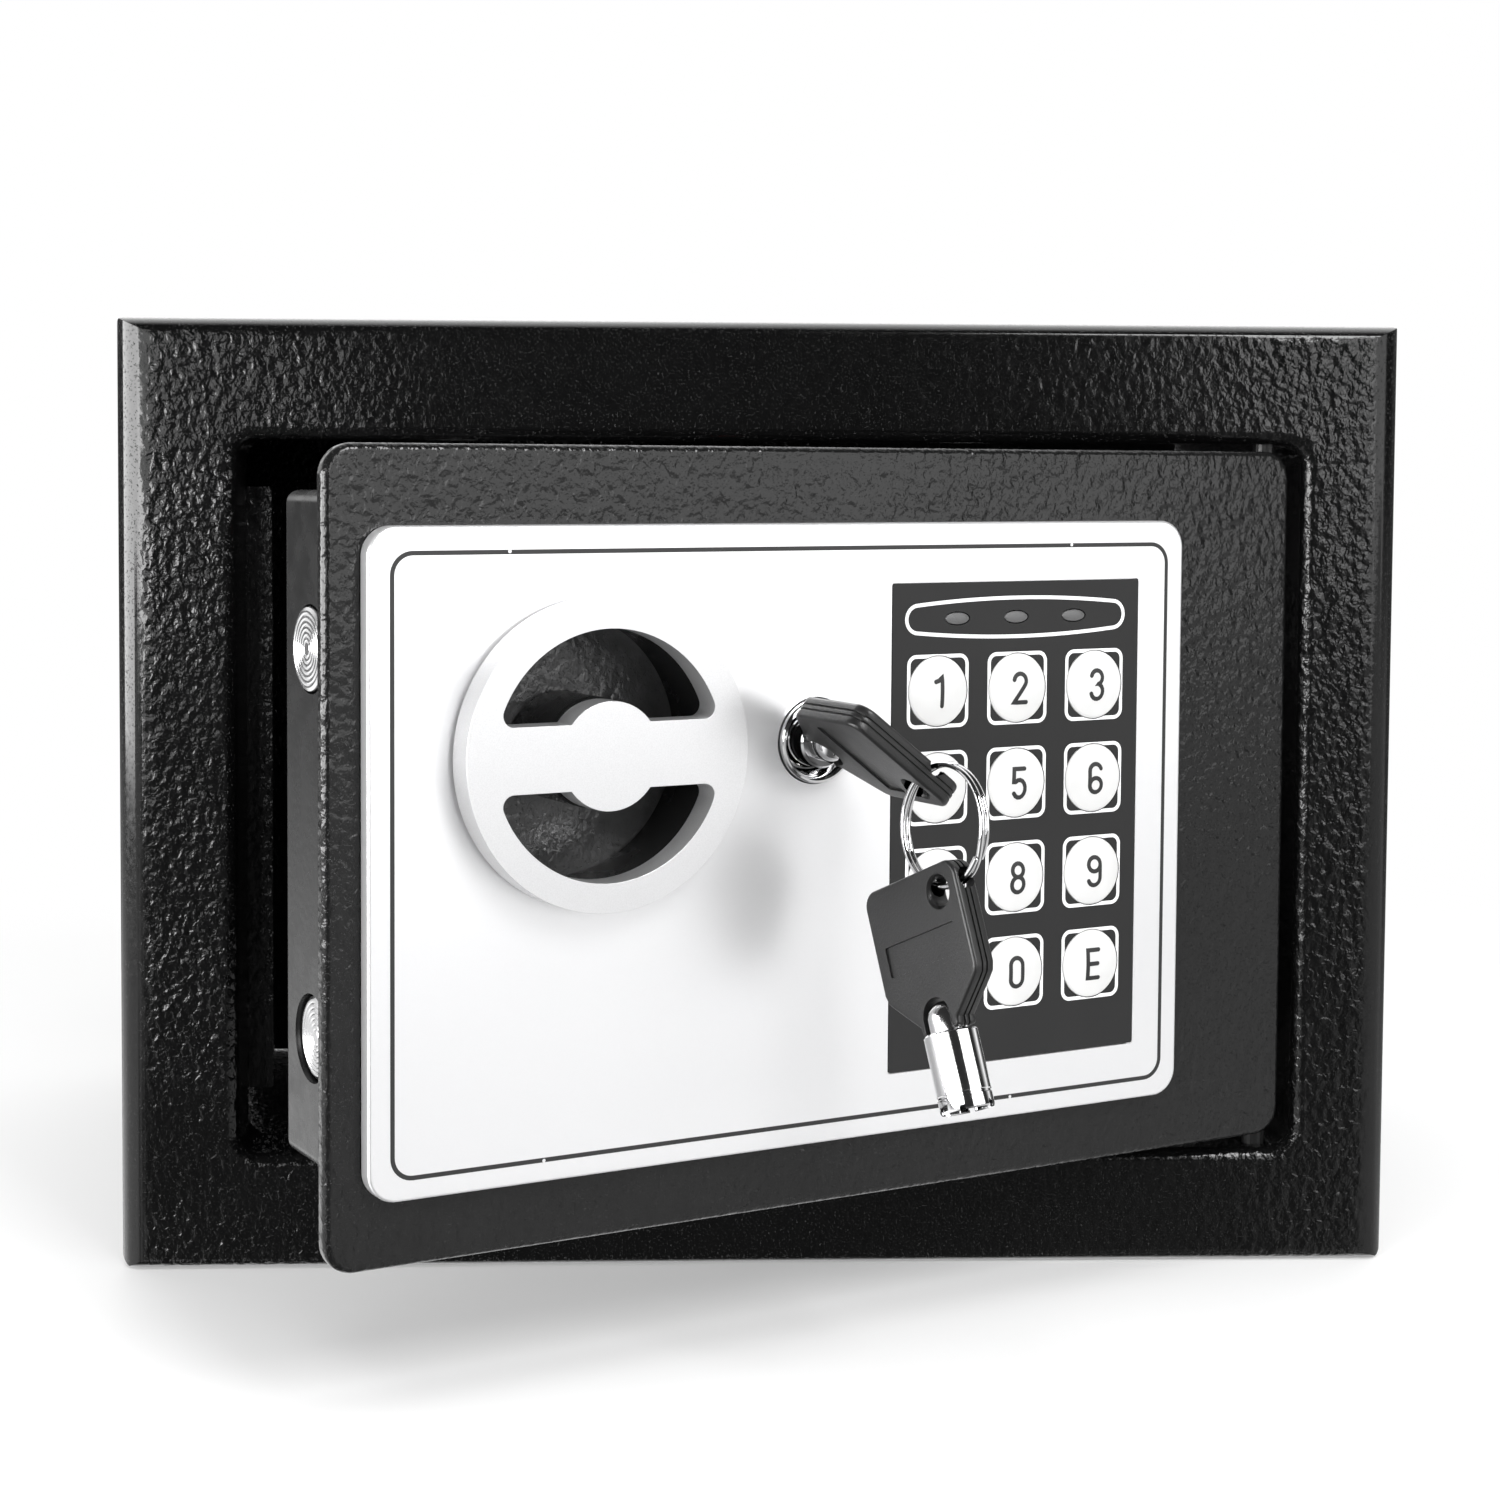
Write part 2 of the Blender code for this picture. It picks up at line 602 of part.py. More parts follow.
def key_head(name, frame, ring_tool):
    half, neck = HEAD_W / 2, 4.4
    outline = [(neck, 0.2), (half - 0.8, HEAD_SHOULDER - 0.6), (half, HEAD_SHOULDER + 1.0)]
    for i in range(6):
        a = math.radians(90 * i / 5)
        outline.append((half - 2.6 + 2.6 * math.cos(a), HEAD_L - 2.6 + 2.6 * math.sin(a)))
    outline += [(-x, y) for x, y in reversed(outline)]
    solid = prism(name, outline, -HEAD_T / 2, HEAD_T / 2, "xz")
    head = add_object(name, solid, "black_plastic", smooth=False)
    bevel(head, 0.5, 1)
    notch = rounded_rect(-STUB_R - 0.3, STUB_R + 0.3, -2, 5.4, (3.2, 3.2, 0, 0), 5)
    tools = [prism("cut_notch_" + name, notch, -6, 6, "xz")]
    for face in (-1, 1):
        patch = rounded_rect(-8.6, 8.6, 10.4, 15.2, 0.4, 2)
        low, high = sorted((face * (HEAD_T / 2 - 0.35), face * 6))
        tools.append(prism(f"cut_patch_{face + 1}_{name}", patch, low, high, "xz"))
    for mesh in tools:
        tool = add_object(mesh.name, mesh)
        tool.matrix_world = frame
        boolean(head, tool)
    hole = cylinder("cut_hole_" + name, 2.3, -6, 6, sides=20)
    hole.matrix_world = frame @ Matrix.Translation(
        Vector((HEAD_HOLE_B, 0, HEAD_HOLE_A)) * MM
    ) @ Matrix.Rotation(math.radians(90), 4, "X")
    boolean(head, hole)
    boolean(head, ring_tool)
    head.matrix_world = frame
    return head


def key_barrel(name, frame):
    r = TUBE_R
    profile = (
        (0, 4.8), (2.0, 4.2), (STUB_R, 2.4), (STUB_R, 0), (r, -0.1), (r, -TUBE_LEN), (TUBE_IN_R, -TUBE_LEN),
        (TUBE_IN_R, -2.5), (0, -2.5),
    )
    barrel = turned(name, profile, "chrome", 20)
    barrel.matrix_world = frame
    return barrel


def build_keys():
    turn = DOOR.matrix_world
    roll = math.radians(KEY_ROLL_DEG)
    right = turn.to_3x3() @ Vector((1, 0, 0))
    across = right * math.cos(roll) - Vector((0, 0, 1)) * math.sin(roll)
    out = turn.to_3x3() @ Vector((0, -1, 0))
    x, y = door_xy(LOCK_U, KEY_SEAT_H)
    seat = turn @ (Vector((x, y, LOCK_Z)) * MM)
    first = key_frame(seat / MM, across, out)
    spare = key_frame(SPARE_ORIGIN, SPARE_B, SPARE_A)
    facing = Vector(RING_NORMAL).to_track_quat("Z", "Y").to_matrix().to_4x4()
    ring_frame = Matrix.Translation(Vector(RING_CENTRE) * MM) @ facing
    ring_tool = torus("cut_ring_path", RING_R, RING_WIRE + 0.75, 32, 8)
    ring_tool.matrix_world = ring_frame
    key_head("key_head", first, ring_tool)
    key_barrel("key_barrel", first)
    hang = pivot_empty("spare_key_axis", spare @ (Vector((HEAD_HOLE_B, 0, HEAD_HOLE_A)) * MM))
    hang_on(key_head("spare_key_head", spare, ring_tool), hang)
    hang_on(key_barrel("spare_key_barrel", spare), hang)
    ring = torus("key_ring", RING_R, RING_WIRE, 36, 6, "chrome")
    ring.matrix_world = ring_frame
    hang_on(ring, pivot_empty("key_ring_axis", first @ (Vector((HEAD_HOLE_B, 0, HEAD_HOLE_A)) * MM)))


def pivot_empty(name, spot):
    empty = bpy.data.objects.new(name, None)
    empty.location = spot
    PARTS.objects.link(empty)
    bpy.context.view_layer.update()
    return empty


def hang_on(obj, empty):
    obj.parent = empty
    obj.matrix_parent_inverse = empty.matrix_world.inverted()


def torus(name, major, minor, around, section, look=None):
    """Ring swept from a circle with the Screw modifier."""
    bm = bmesh.new()
    bmesh.ops.create_circle(bm, cap_ends=False, segments=section, radius=minor * MM)
    bmesh.ops.rotate(bm, verts=bm.verts, matrix=Matrix.Rotation(math.radians(90), 3, "X"))
    bmesh.ops.translate(bm, verts=bm.verts, vec=(major * MM, 0, 0))
    mesh = bpy.data.meshes.new(name)
    bm.to_mesh(mesh)
    bm.free()
    obj = add_object(name, mesh, look)
    screw = obj.modifiers.new("Turn", "SCREW")
    screw.axis = "Z"
    screw.steps = around
    screw.render_steps = around
    screw.use_merge_vertices = True
    screw.merge_threshold = 0.00001
    screw.use_normal_calculate = True
    return obj


def build_electrics():
    door_slab("control_board", 39.0, 85.0, 44.5, 125.0, -5.8, -4.2, 1.0, "board_green", 2)
    outside = (CASE_U0, CASE_U1, CASE_Z0, CASE_Z1)
    case = door_slab("battery_case", *outside, -34.4, -16.6, 1.0, "black_plastic", 2)
    t = 1.2
    room = (CASE_U0 + t, CASE_U1 - t, CASE_Z0 + t, CASE_Z1 - t)
    boolean(case, door_slab("cut_case_room", *room, -38, -16.6 - t, 0.6, None, 2))
    u0 = 20.5
    for i, z in enumerate(CELL_Z):
        end = u0 + CELL_LEN
        r = CELL_R
        profile = ((0, end), (2.7, end), (2.7, end - 1.2), (r, end - 1.2), (r, u0), (0, u0))
        along_u(turned(f"battery_{i + 1}", profile, "cell_sleeve", 16), z, CELL_H)
    cover = (CASE_U0 - 1, CASE_U1 + 1, CASE_Z0 - 1, CASE_Z1 + 1)
    lid = door_slab("battery_cover", *cover, -37.9, -36.3, 1.5, "black_plastic", 3)
    bevel(lid, 0.4, 1)
    ridge = (CASE_U0 + 18, CASE_U1 - 18, CASE_Z0 + 4, CASE_Z0 + 7)
    boolean(lid, door_slab("cover_ridge", *ridge, -39.3, -37.0, 1.2, None, 3), "UNION")
    r = RESET_R
    profile = ((0, -33.0), (4.4, -33.0), (4.4, -34.4), (r, -34.4), (r, -37.9), (r - 0.5, -38.4), (0, -38.4))
    outward(turned("reset_button", profile, "button_red", 24), RESET_U, RESET_Z)


clear_scene()
PARTS = new_collection("wall_safe")
CUTTERS = new_collection("cutters")
CUTTERS.hide_render = True
DOOR = bpy.data.objects.new("door_axis", None)
DOOR.location = (HINGE_X * MM, HINGE_Y * MM, 0)
DOOR.rotation_euler = (0, 0, math.radians(AJAR_DEG))
PARTS.objects.link(DOOR)
bpy.context.view_layer.update()
build_body()
build_door_plate()
build_inner_box()
build_fascia()
build_knob()
build_bolt_work()
build_solenoid()
build_lock()
build_keys()
build_electrics()
bpy.context.view_layer.update()
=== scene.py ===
"""Looks for the wall safe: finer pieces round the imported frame, their materials, the studio and
the camera.

Pieces are drawn in millimetres in a local frame, then placed in the row's metres. The door's own
frame is FACE: x runs towards the hinge, y up, z outward, with its zero at the door plate's hinge
side edge and on its front face.
"""

import json
import math

import bmesh
import bpy
from mathutils import Matrix, Vector


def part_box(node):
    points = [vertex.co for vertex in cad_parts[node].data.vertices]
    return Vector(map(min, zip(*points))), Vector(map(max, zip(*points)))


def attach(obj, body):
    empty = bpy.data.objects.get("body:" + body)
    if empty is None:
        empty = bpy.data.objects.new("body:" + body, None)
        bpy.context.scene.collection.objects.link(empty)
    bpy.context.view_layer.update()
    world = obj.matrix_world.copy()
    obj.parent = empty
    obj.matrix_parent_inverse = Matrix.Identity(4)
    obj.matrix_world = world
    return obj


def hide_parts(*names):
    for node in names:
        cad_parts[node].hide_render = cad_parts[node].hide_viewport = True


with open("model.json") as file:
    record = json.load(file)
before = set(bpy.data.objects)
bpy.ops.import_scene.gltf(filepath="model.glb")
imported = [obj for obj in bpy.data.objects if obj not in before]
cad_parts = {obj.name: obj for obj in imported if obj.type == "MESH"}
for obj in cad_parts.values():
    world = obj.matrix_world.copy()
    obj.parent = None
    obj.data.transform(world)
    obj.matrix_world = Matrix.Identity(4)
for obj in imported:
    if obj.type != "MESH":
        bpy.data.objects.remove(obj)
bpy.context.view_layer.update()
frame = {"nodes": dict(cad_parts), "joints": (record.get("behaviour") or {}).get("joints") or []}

MM = 0.001
NODES = frame["nodes"]
JOINTS = {joint["name"]: joint for joint in frame["joints"]}
SCENE = bpy.context.scene

# Sizes shared by several pieces, in millimetres
SHEET = 1.5  # the body's steel
DOORWAY = (-93.6, 97.0, 20.6, 148.6)  # x0, x1, z0, z1
DOORWAY_CORNER = 4.0
DOORWAY_ROLL = 2.3
BORE = 5.0  # radius of the four fixing bores
BORE_X = 62.0
WALL_BORE_Z = 105.0
FLOOR_BORE_Y = 15.0
PAN_SHEET = 1.2  # the door box's steel
WELL_HOLE = 22.5  # radius of the hole for the knob's well
KEY_HOLE = 5.95  # radius of a hole for a pad key
RING_RADIUS = 9.3
RING_WIRE = 0.46
LINE_WIDTH = 0.7
OUTLINE_WIDTH = 0.62
LEGEND_WIDTH = 0.74
INK_LIFT = 0.03  # how far printing stands off its surface


# Frames

def axes(x, y, z, origin):
    """Matrix that takes millimetres along x, y and z to metres in the row frame."""
    turn = Matrix((x, y, z)).transposed().to_4x4()
    return Matrix.Translation(origin) @ turn @ Matrix.Scale(MM, 4)


OUT = Vector(JOINTS["knob_turn"]["axis"]).normalized()
UP = Vector((0, 0, 1))
RIGHT = Vector((-OUT.y, OUT.x, 0))
WORLD = Matrix.Scale(MM, 4)


def local_box(node, matrix):
    back = matrix.inverted()
    points = [back @ v.co for v in NODES[node].data.vertices]
    low = Vector([min(p[i] for p in points) for i in range(3)])
    high = Vector([max(p[i] for p in points) for i in range(3)])
    return low, high


plate_low, plate_high = local_box("door_plate", axes(RIGHT, UP, OUT, Vector()))
FACE = axes(RIGHT, UP, OUT, (RIGHT * plate_high.x + OUT * plate_high.z) * MM)


def on_face(node):
    """(x0, x1, y0, y1, z0, z1) of a node in the door's frame."""
    low, high = local_box(node, FACE)
    return low.x, high.x, low.y, high.y, low.z, high.z


def spot_on_face(node):
    x0, x1, y0, y1, _, _ = on_face(node)
    return (x0 + x1) / 2, (y0 + y1) / 2


def at(x, y, z=0.0):
    return FACE @ Matrix.Translation((x, y, z))


STAND = Matrix(((1, 0, 0, 0), (0, 0, 1, 0), (0, 1, 0, 0), (0, 0, 0, 1)))  # swaps y and z
LENGTHWAYS = Matrix(((0, 0, 1, 0), (1, 0, 0, 0), (0, 1, 0, 0), (0, 0, 0, 1)))  # x, y, z to y, z, x


# Mesh helpers, all in millimetres

def raw(name, verts, faces):
    mesh = bpy.data.meshes.new(name)
    mesh.from_pydata([tuple(v) for v in verts], [], faces)
    bm = bmesh.new()
    bm.from_mesh(mesh)
    bmesh.ops.recalc_face_normals(bm, faces=bm.faces)
    bm.to_mesh(mesh)
    bm.free()
    obj = bpy.data.objects.new(name, mesh)
    SCENE.collection.objects.link(obj)
    return obj


def loft(name, rings, loop=False):
    """Skin over rings of equally many points, with a cap at each end unless it closes on itself."""
    n = len(rings[0])
    verts = [p for ring in rings for p in ring]
    faces = []
    for i in range(len(rings) if loop else len(rings) - 1):
        a, b = i * n, (i + 1) % len(rings) * n
        for j in range(n):
            k = (j + 1) % n
            faces.append((a + j, a + k, b + k, b + j))
    if not loop:
        faces.append(tuple(range(n)))
        faces.append(tuple(range(len(verts) - n, len(verts))))
    return raw(name, verts, faces)


def rect(x0, x1, y0, y1, r, steps=10):
    """Outline of a rectangle with round corners."""
    r = max(r, 0.05)
    points = []
    corners = (
        (x1 - r, y1 - r, 0), (x0 + r, y1 - r, 90), (x0 + r, y0 + r, 180), (x1 - r, y0 + r, 270),
    )
    for cx, cy, start in corners:
        for i in range(steps + 1):
            a = math.radians(start + 90 * i / steps)
            points.append((cx + r * math.cos(a), cy + r * math.sin(a)))
    return points


def quarter(steps):
    return [math.radians(90 * i / steps) for i in range(steps + 1)]


def arc(cx, cy, rx, ry, start, end, steps=12):
    spots = [math.radians(start + (end - start) * i / steps) for i in range(steps + 1)]
    return [(cx + rx * math.cos(a), cy + ry * math.sin(a)) for a in spots]


def slab(name, box, corner, back=0.0, front=0.0, steps=10, soft=5):
    """Rounded plate in x and y from z0 to z1, with its back and front edges rounded."""
    x0, x1, y0, y1, z0, z1 = box
    levels = []
    for i in range(soft + 1 if back else 1):
        a = math.radians(90 * i / soft)
        levels.append((back * (1 - math.sin(a)), z0 + back * (1 - math.cos(a))))
    for i in range(soft + 1 if front else 1):
        a = math.radians(90 - 90 * i / soft)
        levels.append((front * (1 - math.sin(a)) if front else 0.0, z1 - front * (1 - math.cos(a))))
    rings = []
    for inset, z in levels:
        ring = rect(x0 + inset, x1 - inset, y0 + inset, y1 - inset, corner - inset, steps)
        rings.append([(x, y, z) for x, y in ring])
    return loft(name, rings)


def lathe(name, profile, steps=64):
    """Solid turned about z from (radius, height) points, axis to axis or a closed loop off it."""
    verts, rows, faces = [], [], []
    for r, z in profile:
        if r < 1e-6:
            rows.append([len(verts)])
            verts.append((0, 0, z))
            continue
        rows.append(list(range(len(verts), len(verts) + steps)))
        for i in range(steps):
            a = 2 * math.pi * i / steps
            verts.append((r * math.cos(a), r * math.sin(a), z))
    pairs = list(zip(rows, rows[1:]))
    if profile[0][0] > 1e-6:
        pairs.append((rows[-1], rows[0]))
    for a, b in pairs:
        for i in range(steps):
            k = (i + 1) % steps
            if len(a) == 1:
                faces.append((a[0], b[i], b[k]))
            elif len(b) == 1:
                faces.append((a[i], b[0], a[k]))
            else:
                faces.append((a[i], b[i], b[k], a[k]))
    return raw(name, verts, faces)


def prism(name, outline, low, high):
    return loft(name, [[(x, y, low) for x, y in outline], [(x, y, high) for x, y in outline]])


def move(obj, matrix):
    obj.data.transform(matrix)
    return obj


def drum(radius, z0, z1, x=0.0, y=0.0, steps=48):
    tool = lathe("drum", ((0, z0), (radius, z0), (radius, z1), (0, z1)), steps)
    return move(tool, Matrix.Translation((x, y, 0)))


def bake(obj):
    bpy.context.view_layer.update()
    mesh = bpy.data.meshes.new_from_object(obj.evaluated_get(bpy.context.evaluated_depsgraph_get()))
    old = obj.data
    obj.modifiers.clear()
    obj.data = mesh
    mesh.name = obj.name
    bpy.data.meshes.remove(old)
    return obj


def combine(obj, tools, operation):
    for tool in tools:
        change = obj.modifiers.new("change", "BOOLEAN")
        change.operation = operation
        change.solver = "EXACT"
        change.object = tool
        bake(obj)
        bpy.data.objects.remove(tool)
    return obj


def cut(obj, *tools):
    return combine(obj, tools, "DIFFERENCE")


def join(obj, *tools):
    return combine(obj, tools, "UNION")


def together(tools):
    """Tools that don't touch each other as one mesh, so that one Boolean uses them all."""
    bm = bmesh.new()
    for tool in tools:
        bm.from_mesh(tool.data)
        bpy.data.objects.remove(tool)
    obj = raw("tools", [], [])
    bm.to_mesh(obj.data)
    bm.free()
    return obj


def soften(obj, width, segments=3, angle=35):
    edge = obj.modifiers.new("edge", "BEVEL")
    edge.width = width
    edge.segments = segments
    edge.limit_method = "ANGLE"
    edge.angle_limit = math.radians(angle)
    edge.use_clamp_overlap = True
    edge.miter_outer = "MITER_ARC"
    return bake(obj)


def tube(name, path, radius, sides=12, loop=False):
    """Round wire along a path of points, each with its own outward direction across the path."""
    rings = []
    for i, (point, side) in enumerate(path):
        ahead = path[min(i + 1, len(path) - 1)][0] - path[max(i - 1, 0)][0]
        across = ahead.normalized().cross(side).normalized()
        ring = []
        for k in range(sides):
            a = 2 * math.pi * k / sides
            ring.append(point + radius * (math.cos(a) * side + math.sin(a) * across))
        rings.append(ring)
    return loft(name, rings, loop)


def shade(obj, angle=32):
    mesh = obj.data
    mesh.shade_smooth()
    mesh.set_sharp_from_angle(angle=math.radians(angle))
    even = obj.modifiers.new("even", "WEIGHTED_NORMAL")
    even.keep_sharp = True
    even.weight = 80


def place(obj, name, matrix, body, look, replaces=(), angle=32):
    """Puts a finished piece into the row frame, hangs it on the body it rides on and hides the CAD
    nodes it replaces.
    """
    obj.name = name
    obj.data.name = name
    obj.data.transform(matrix)
    obj.data.materials.clear()
    obj.data.materials.append(look)
    shade(obj, angle)
    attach(obj, body)
    if replaces:
        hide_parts(*replaces)
    return obj


def dress(node, look, edge=0.0):
    """A CAD node whose shape is right keeps it, and takes a material and softer edges."""
    obj = NODES[node]
    obj.data.materials.clear()
    obj.data.materials.append(look)
    if edge:
        soft = obj.modifiers.new("edge", "BEVEL")
        soft.width = edge * MM
        soft.segments = 2
        soft.limit_method = "ANGLE"
        soft.angle_limit = math.radians(40)
        obj.data.shade_smooth()
        obj.data.set_sharp_from_angle(angle=math.radians(32))


# Materials

SPAN_SOCKETS = ("From Min", "From Max", "To Min", "To Max")
COLOUR_A, COLOUR_B, COLOUR_RESULT = 6, 7, 2  # sockets of a Mix node set to RGBA


class Nodes:
    """Short names for building one material's node tree."""

    def __init__(self, name, colour, roughness, metallic=0.0, **sockets):
        self.material = bpy.data.materials.new(name)
        self.material.use_nodes = True
        self.tree = self.material.node_tree
        self.shader = self.tree.nodes["Principled BSDF"]
        self.put("Base Color", (*colour, 1.0))
        self.put("Roughness", roughness)
        self.put("Metallic", metallic)
        for socket, value in sockets.items():
            self.put(socket.replace("_", " "), value)
        self.coords = self.add("ShaderNodeTexCoord").outputs["Object"]

    def put(self, socket, value):
        self.shader.inputs[socket].default_value = value

    def add(self, kind, **settings):
        node = self.tree.nodes.new(kind)
        for key, value in settings.items():
            setattr(node, key, value)
        return node

    def link(self, source, target):
        self.tree.links.new(source, target)

    def stretched(self, scale):
        node = self.add("ShaderNodeMapping")
        node.inputs["Scale"].default_value = scale
        self.link(self.coords, node.inputs["Vector"])
        return node.outputs["Vector"]

    def noise(self, scale, detail=2.0, rough=0.5, vector=None, distortion=0.0):
        node = self.add("ShaderNodeTexNoise")
        node.inputs["Scale"].default_value = scale
        node.inputs["Detail"].default_value = detail
        node.inputs["Roughness"].default_value = rough
        node.inputs["Distortion"].default_value = distortion
        self.link(vector or self.coords, node.inputs["Vector"])
        return node.outputs["Fac"]

    def cells(self, scale, vector=None, smooth=0.6):
        node = self.add("ShaderNodeTexVoronoi", feature="SMOOTH_F1")
        node.inputs["Scale"].default_value = scale
        node.inputs["Smoothness"].default_value = smooth
        self.link(vector or self.coords, node.inputs["Vector"])
        return node.outputs["Distance"]

    def math(self, operation, a, b=0.0):
        node = self.add("ShaderNodeMath", operation=operation)
        for socket, value in zip(node.inputs, (a, b)):
            if hasattr(value, "is_linked"):
                self.link(value, socket)
            else:
                socket.default_value = value
        return node.outputs[0]

    def span(self, value, low, high, to_low=0.0, to_high=1.0, smooth=False):
        node = self.add("ShaderNodeMapRange")
        if smooth:
            node.interpolation_type = "SMOOTHSTEP"
        self.link(value, node.inputs["Value"])
        for socket, number in zip(SPAN_SOCKETS, (low, high, to_low, to_high)):
            node.inputs[socket].default_value = number
        return node.outputs["Result"]

    def tint(self, factor, dark, light):
        node = self.add("ShaderNodeMix", data_type="RGBA")
        self.link(factor, node.inputs["Factor"])
        node.inputs[COLOUR_A].default_value = (*dark, 1.0)
        node.inputs[COLOUR_B].default_value = (*light, 1.0)
        self.link(node.outputs[COLOUR_RESULT], self.shader.inputs["Base Color"])

    def rough(self, factor, low, high):
        self.link(self.span(factor, 0.3, 0.7, low, high), self.shader.inputs["Roughness"])

    def bump(self, height, distance, strength=1.0):
        node = self.add("ShaderNodeBump")
        node.inputs["Distance"].default_value = distance
        node.inputs["Strength"].default_value = strength
        self.link(height, node.inputs["Height"])
        self.link(node.outputs["Normal"], self.shader.inputs["Normal"])


def grey(value):
    return (value, value, value * 1.01)


def textured_paint(name, depth=0.00022, plain=None, level=0.006):
    """Glossy black powder coat with leathery bumps.

    The coat is smooth on the body's front bends: plain gives the front face's limits in x and z,
    and the y behind which the bumps run on. They are shallower on the middle of the front.
    """
    m = Nodes(name, grey(level), 0.15, Specular_IOR_Level=0.42)
    long = m.stretched((1.0, 1.0, 0.84))
    leather = m.noise(780, 2.0, 0.45, long, 0.4)
    pebbles = m.cells(580, long, 0.9)
    height = m.math("ADD", leather, m.math("MULTIPLY", pebbles, 0.55))
    wide = m.span(m.noise(26, 1.0), 0.35, 0.65, 0.65, 1.15)
    height = m.math("MULTIPLY", height, wide)
    if plain:
        split = m.add("ShaderNodeSeparateXYZ")
        m.link(m.coords, split.inputs[0])
        x, y, z = split.outputs
        x0, x1, z1, y0 = plain
        left = m.span(x, x0 - 0.002, x0 + 0.002, smooth=True)
        right = m.span(x, x1 + 0.002, x1 - 0.002, smooth=True)
        top = m.span(z, z1 + 0.001, z1 - 0.001, smooth=True)
        off_centre = m.math("ABSOLUTE", m.math("SUBTRACT", x, 0.010))
        columns = m.span(off_centre, 0.065, 0.095, 0.22, 1.0, True)
        share = m.math("MULTIPLY", m.math("MULTIPLY", left, right), top)
        share = m.math("MULTIPLY", share, columns)
        share = m.math("MAXIMUM", share, m.span(y, y0, y0 + 0.003, smooth=True))
        height = m.math("MULTIPLY", height, share)
    specks = m.span(m.noise(2600, 1.0), 0.30, 0.36, -0.25, 0.0)
    m.bump(m.math("ADD", height, specks), depth)
    m.rough(m.noise(900, 2.0), 0.10, 0.19)
    m.tint(m.noise(300, 3.0), grey(level * 0.7), grey(level * 1.5))
    return m.material


def smooth_paint(name, level=0.035, rough=0.25):
    m = Nodes(name, grey(level), rough, Specular_IOR_Level=0.28)
    m.bump(m.noise(700, 3.0), 0.00003)
    m.rough(m.noise(200, 3.0), rough - 0.05, rough + 0.08)
    m.tint(m.noise(60, 3.0), grey(level * 0.85), grey(level * 1.15))
    return m.material


def silver(name, level, metallic, rough, grain):
    """Silver lacquer over plastic: fine flake in colour and relief."""
    m = Nodes(name, grey(level), rough, metallic)
    flake = m.noise(5200, 2.0, 0.6)
    m.tint(m.span(flake, 0.3, 0.7), grey(level * (1 - grain)), grey(min(level * (1 + grain), 0.95)))
    m.bump(m.noise(3800, 2.0), 0.000003)
    m.rough(m.noise(1500, 2.0), rough - 0.015, rough + 0.02)
    return m.material


def plastic(name, colour, rough, relief=0.00002, scale=2400, **sockets):
    m = Nodes(name, colour, rough, **sockets)
    m.bump(m.noise(scale, 3.0, 0.6), relief)
    m.rough(m.noise(120, 3.0), rough - 0.05, rough + 0.06)
    light = [min(c * 1.12, 1.0) for c in colour]
    m.tint(m.noise(90, 3.0), [c * 0.9 for c in colour], light)
    return m.material


def metal(name, level, rough, streak=(1.0, 1.0, 1.0), relief=0.00001, scale=900):
    m = Nodes(name, grey(level), rough, 1.0)
    way = m.stretched(streak)
    m.tint(m.noise(scale / 6, 3.0, 0.6, way), grey(level * 0.88), grey(min(level * 1.1, 0.95)))
    m.bump(m.noise(scale, 3.0, 0.6, way), relief)
    m.rough(m.noise(scale / 3, 3.0, 0.6, way), max(rough - 0.03, 0.02), rough + 0.05)
    return m.material


def circuit_board(name):
    """Green solder mask with darker copper tracks under it."""
    m = Nodes(name, (0.02, 0.11, 0.05), 0.35)
    bricks = m.add("ShaderNodeTexBrick")
    bricks.inputs["Scale"].default_value = 160
    bricks.inputs["Mortar Size"].default_value = 0.06
    m.link(m.stretched((1.0, 1.0, 1.6)), bricks.inputs["Vector"])
    tracks = m.math("MULTIPLY", bricks.outputs["Fac"], m.span(m.noise(40, 1.0), 0.48, 0.52))
    m.tint(tracks, (0.015, 0.09, 0.04), (0.05, 0.22, 0.10))
    m.bump(tracks, 0.00004)
    return m.material


def cell_sleeve(name, along, band_start):
    """Dark battery sleeve, light beyond band_start metres in the direction along."""
    m = Nodes(name, grey(0.03), 0.3)
    dot = m.add("ShaderNodeVectorMath", operation="DOT_PRODUCT")
    m.link(m.coords, dot.inputs[0])
    dot.inputs[1].default_value = along
    band = m.span(dot.outputs["Value"], band_start, band_start + 0.0006)
    m.tint(band, grey(0.03), (0.42, 0.40, 0.36))
    m.bump(m.noise(600, 2.0), 0.00002)
    return m.material


body_low, body_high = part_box("body_shell")
cell_end = min((-RIGHT).dot(v.co) for v in NODES["battery_1"].data.vertices)
CELL_BAND = 0.0375

PLAIN_BENDS = (
    body_low.x + 0.0055, body_high.x - 0.0050, body_high.z - 0.0024, body_low.y + 0.0045,
)
PAINT_BODY = textured_paint("paint_body", 0.00038, PLAIN_BENDS, 0.0022)
PAINT_DOOR = textured_paint("paint_door", 0.00022)
# Painted light: the well's floor has the door's black coat, drawn lighter here for the light that
# falls into the knob's well
PAINT_WELL_LIT = textured_paint("paint_well_painted_light", 0.00026, level=0.08)
PAINT_REAR = textured_paint("paint_rear", 0.00036, level=0.004)
BOX_BLACK = smooth_paint("box_black", 0.011)
FASCIA = silver("fascia_silver", 0.93, 0.75, 0.31, 0.008)
KNOB = silver("knob_silver", 0.76, 0.80, 0.33, 0.05)
LABEL = plastic("label_charcoal", grey(0.019), 0.45, 0.000015, 3200, Specular_IOR_Level=0.25)
INK_WHITE = plastic("ink_white", grey(0.86), 0.45, 0.000005)
INK_DARK = plastic("ink_dark", grey(0.018), 0.45, 0.000005)
KEY_WHITE = plastic("key_white", (0.66, 0.66, 0.655), 0.40, 0.00001, 1800, Specular_IOR_Level=0.3)
LED_GREY = plastic("led_grey", grey(0.10), 0.22, 0.00001, 1500)
BLACK_PLASTIC = plastic("black_plastic", grey(0.010), 0.34, 0.00004, 2600)
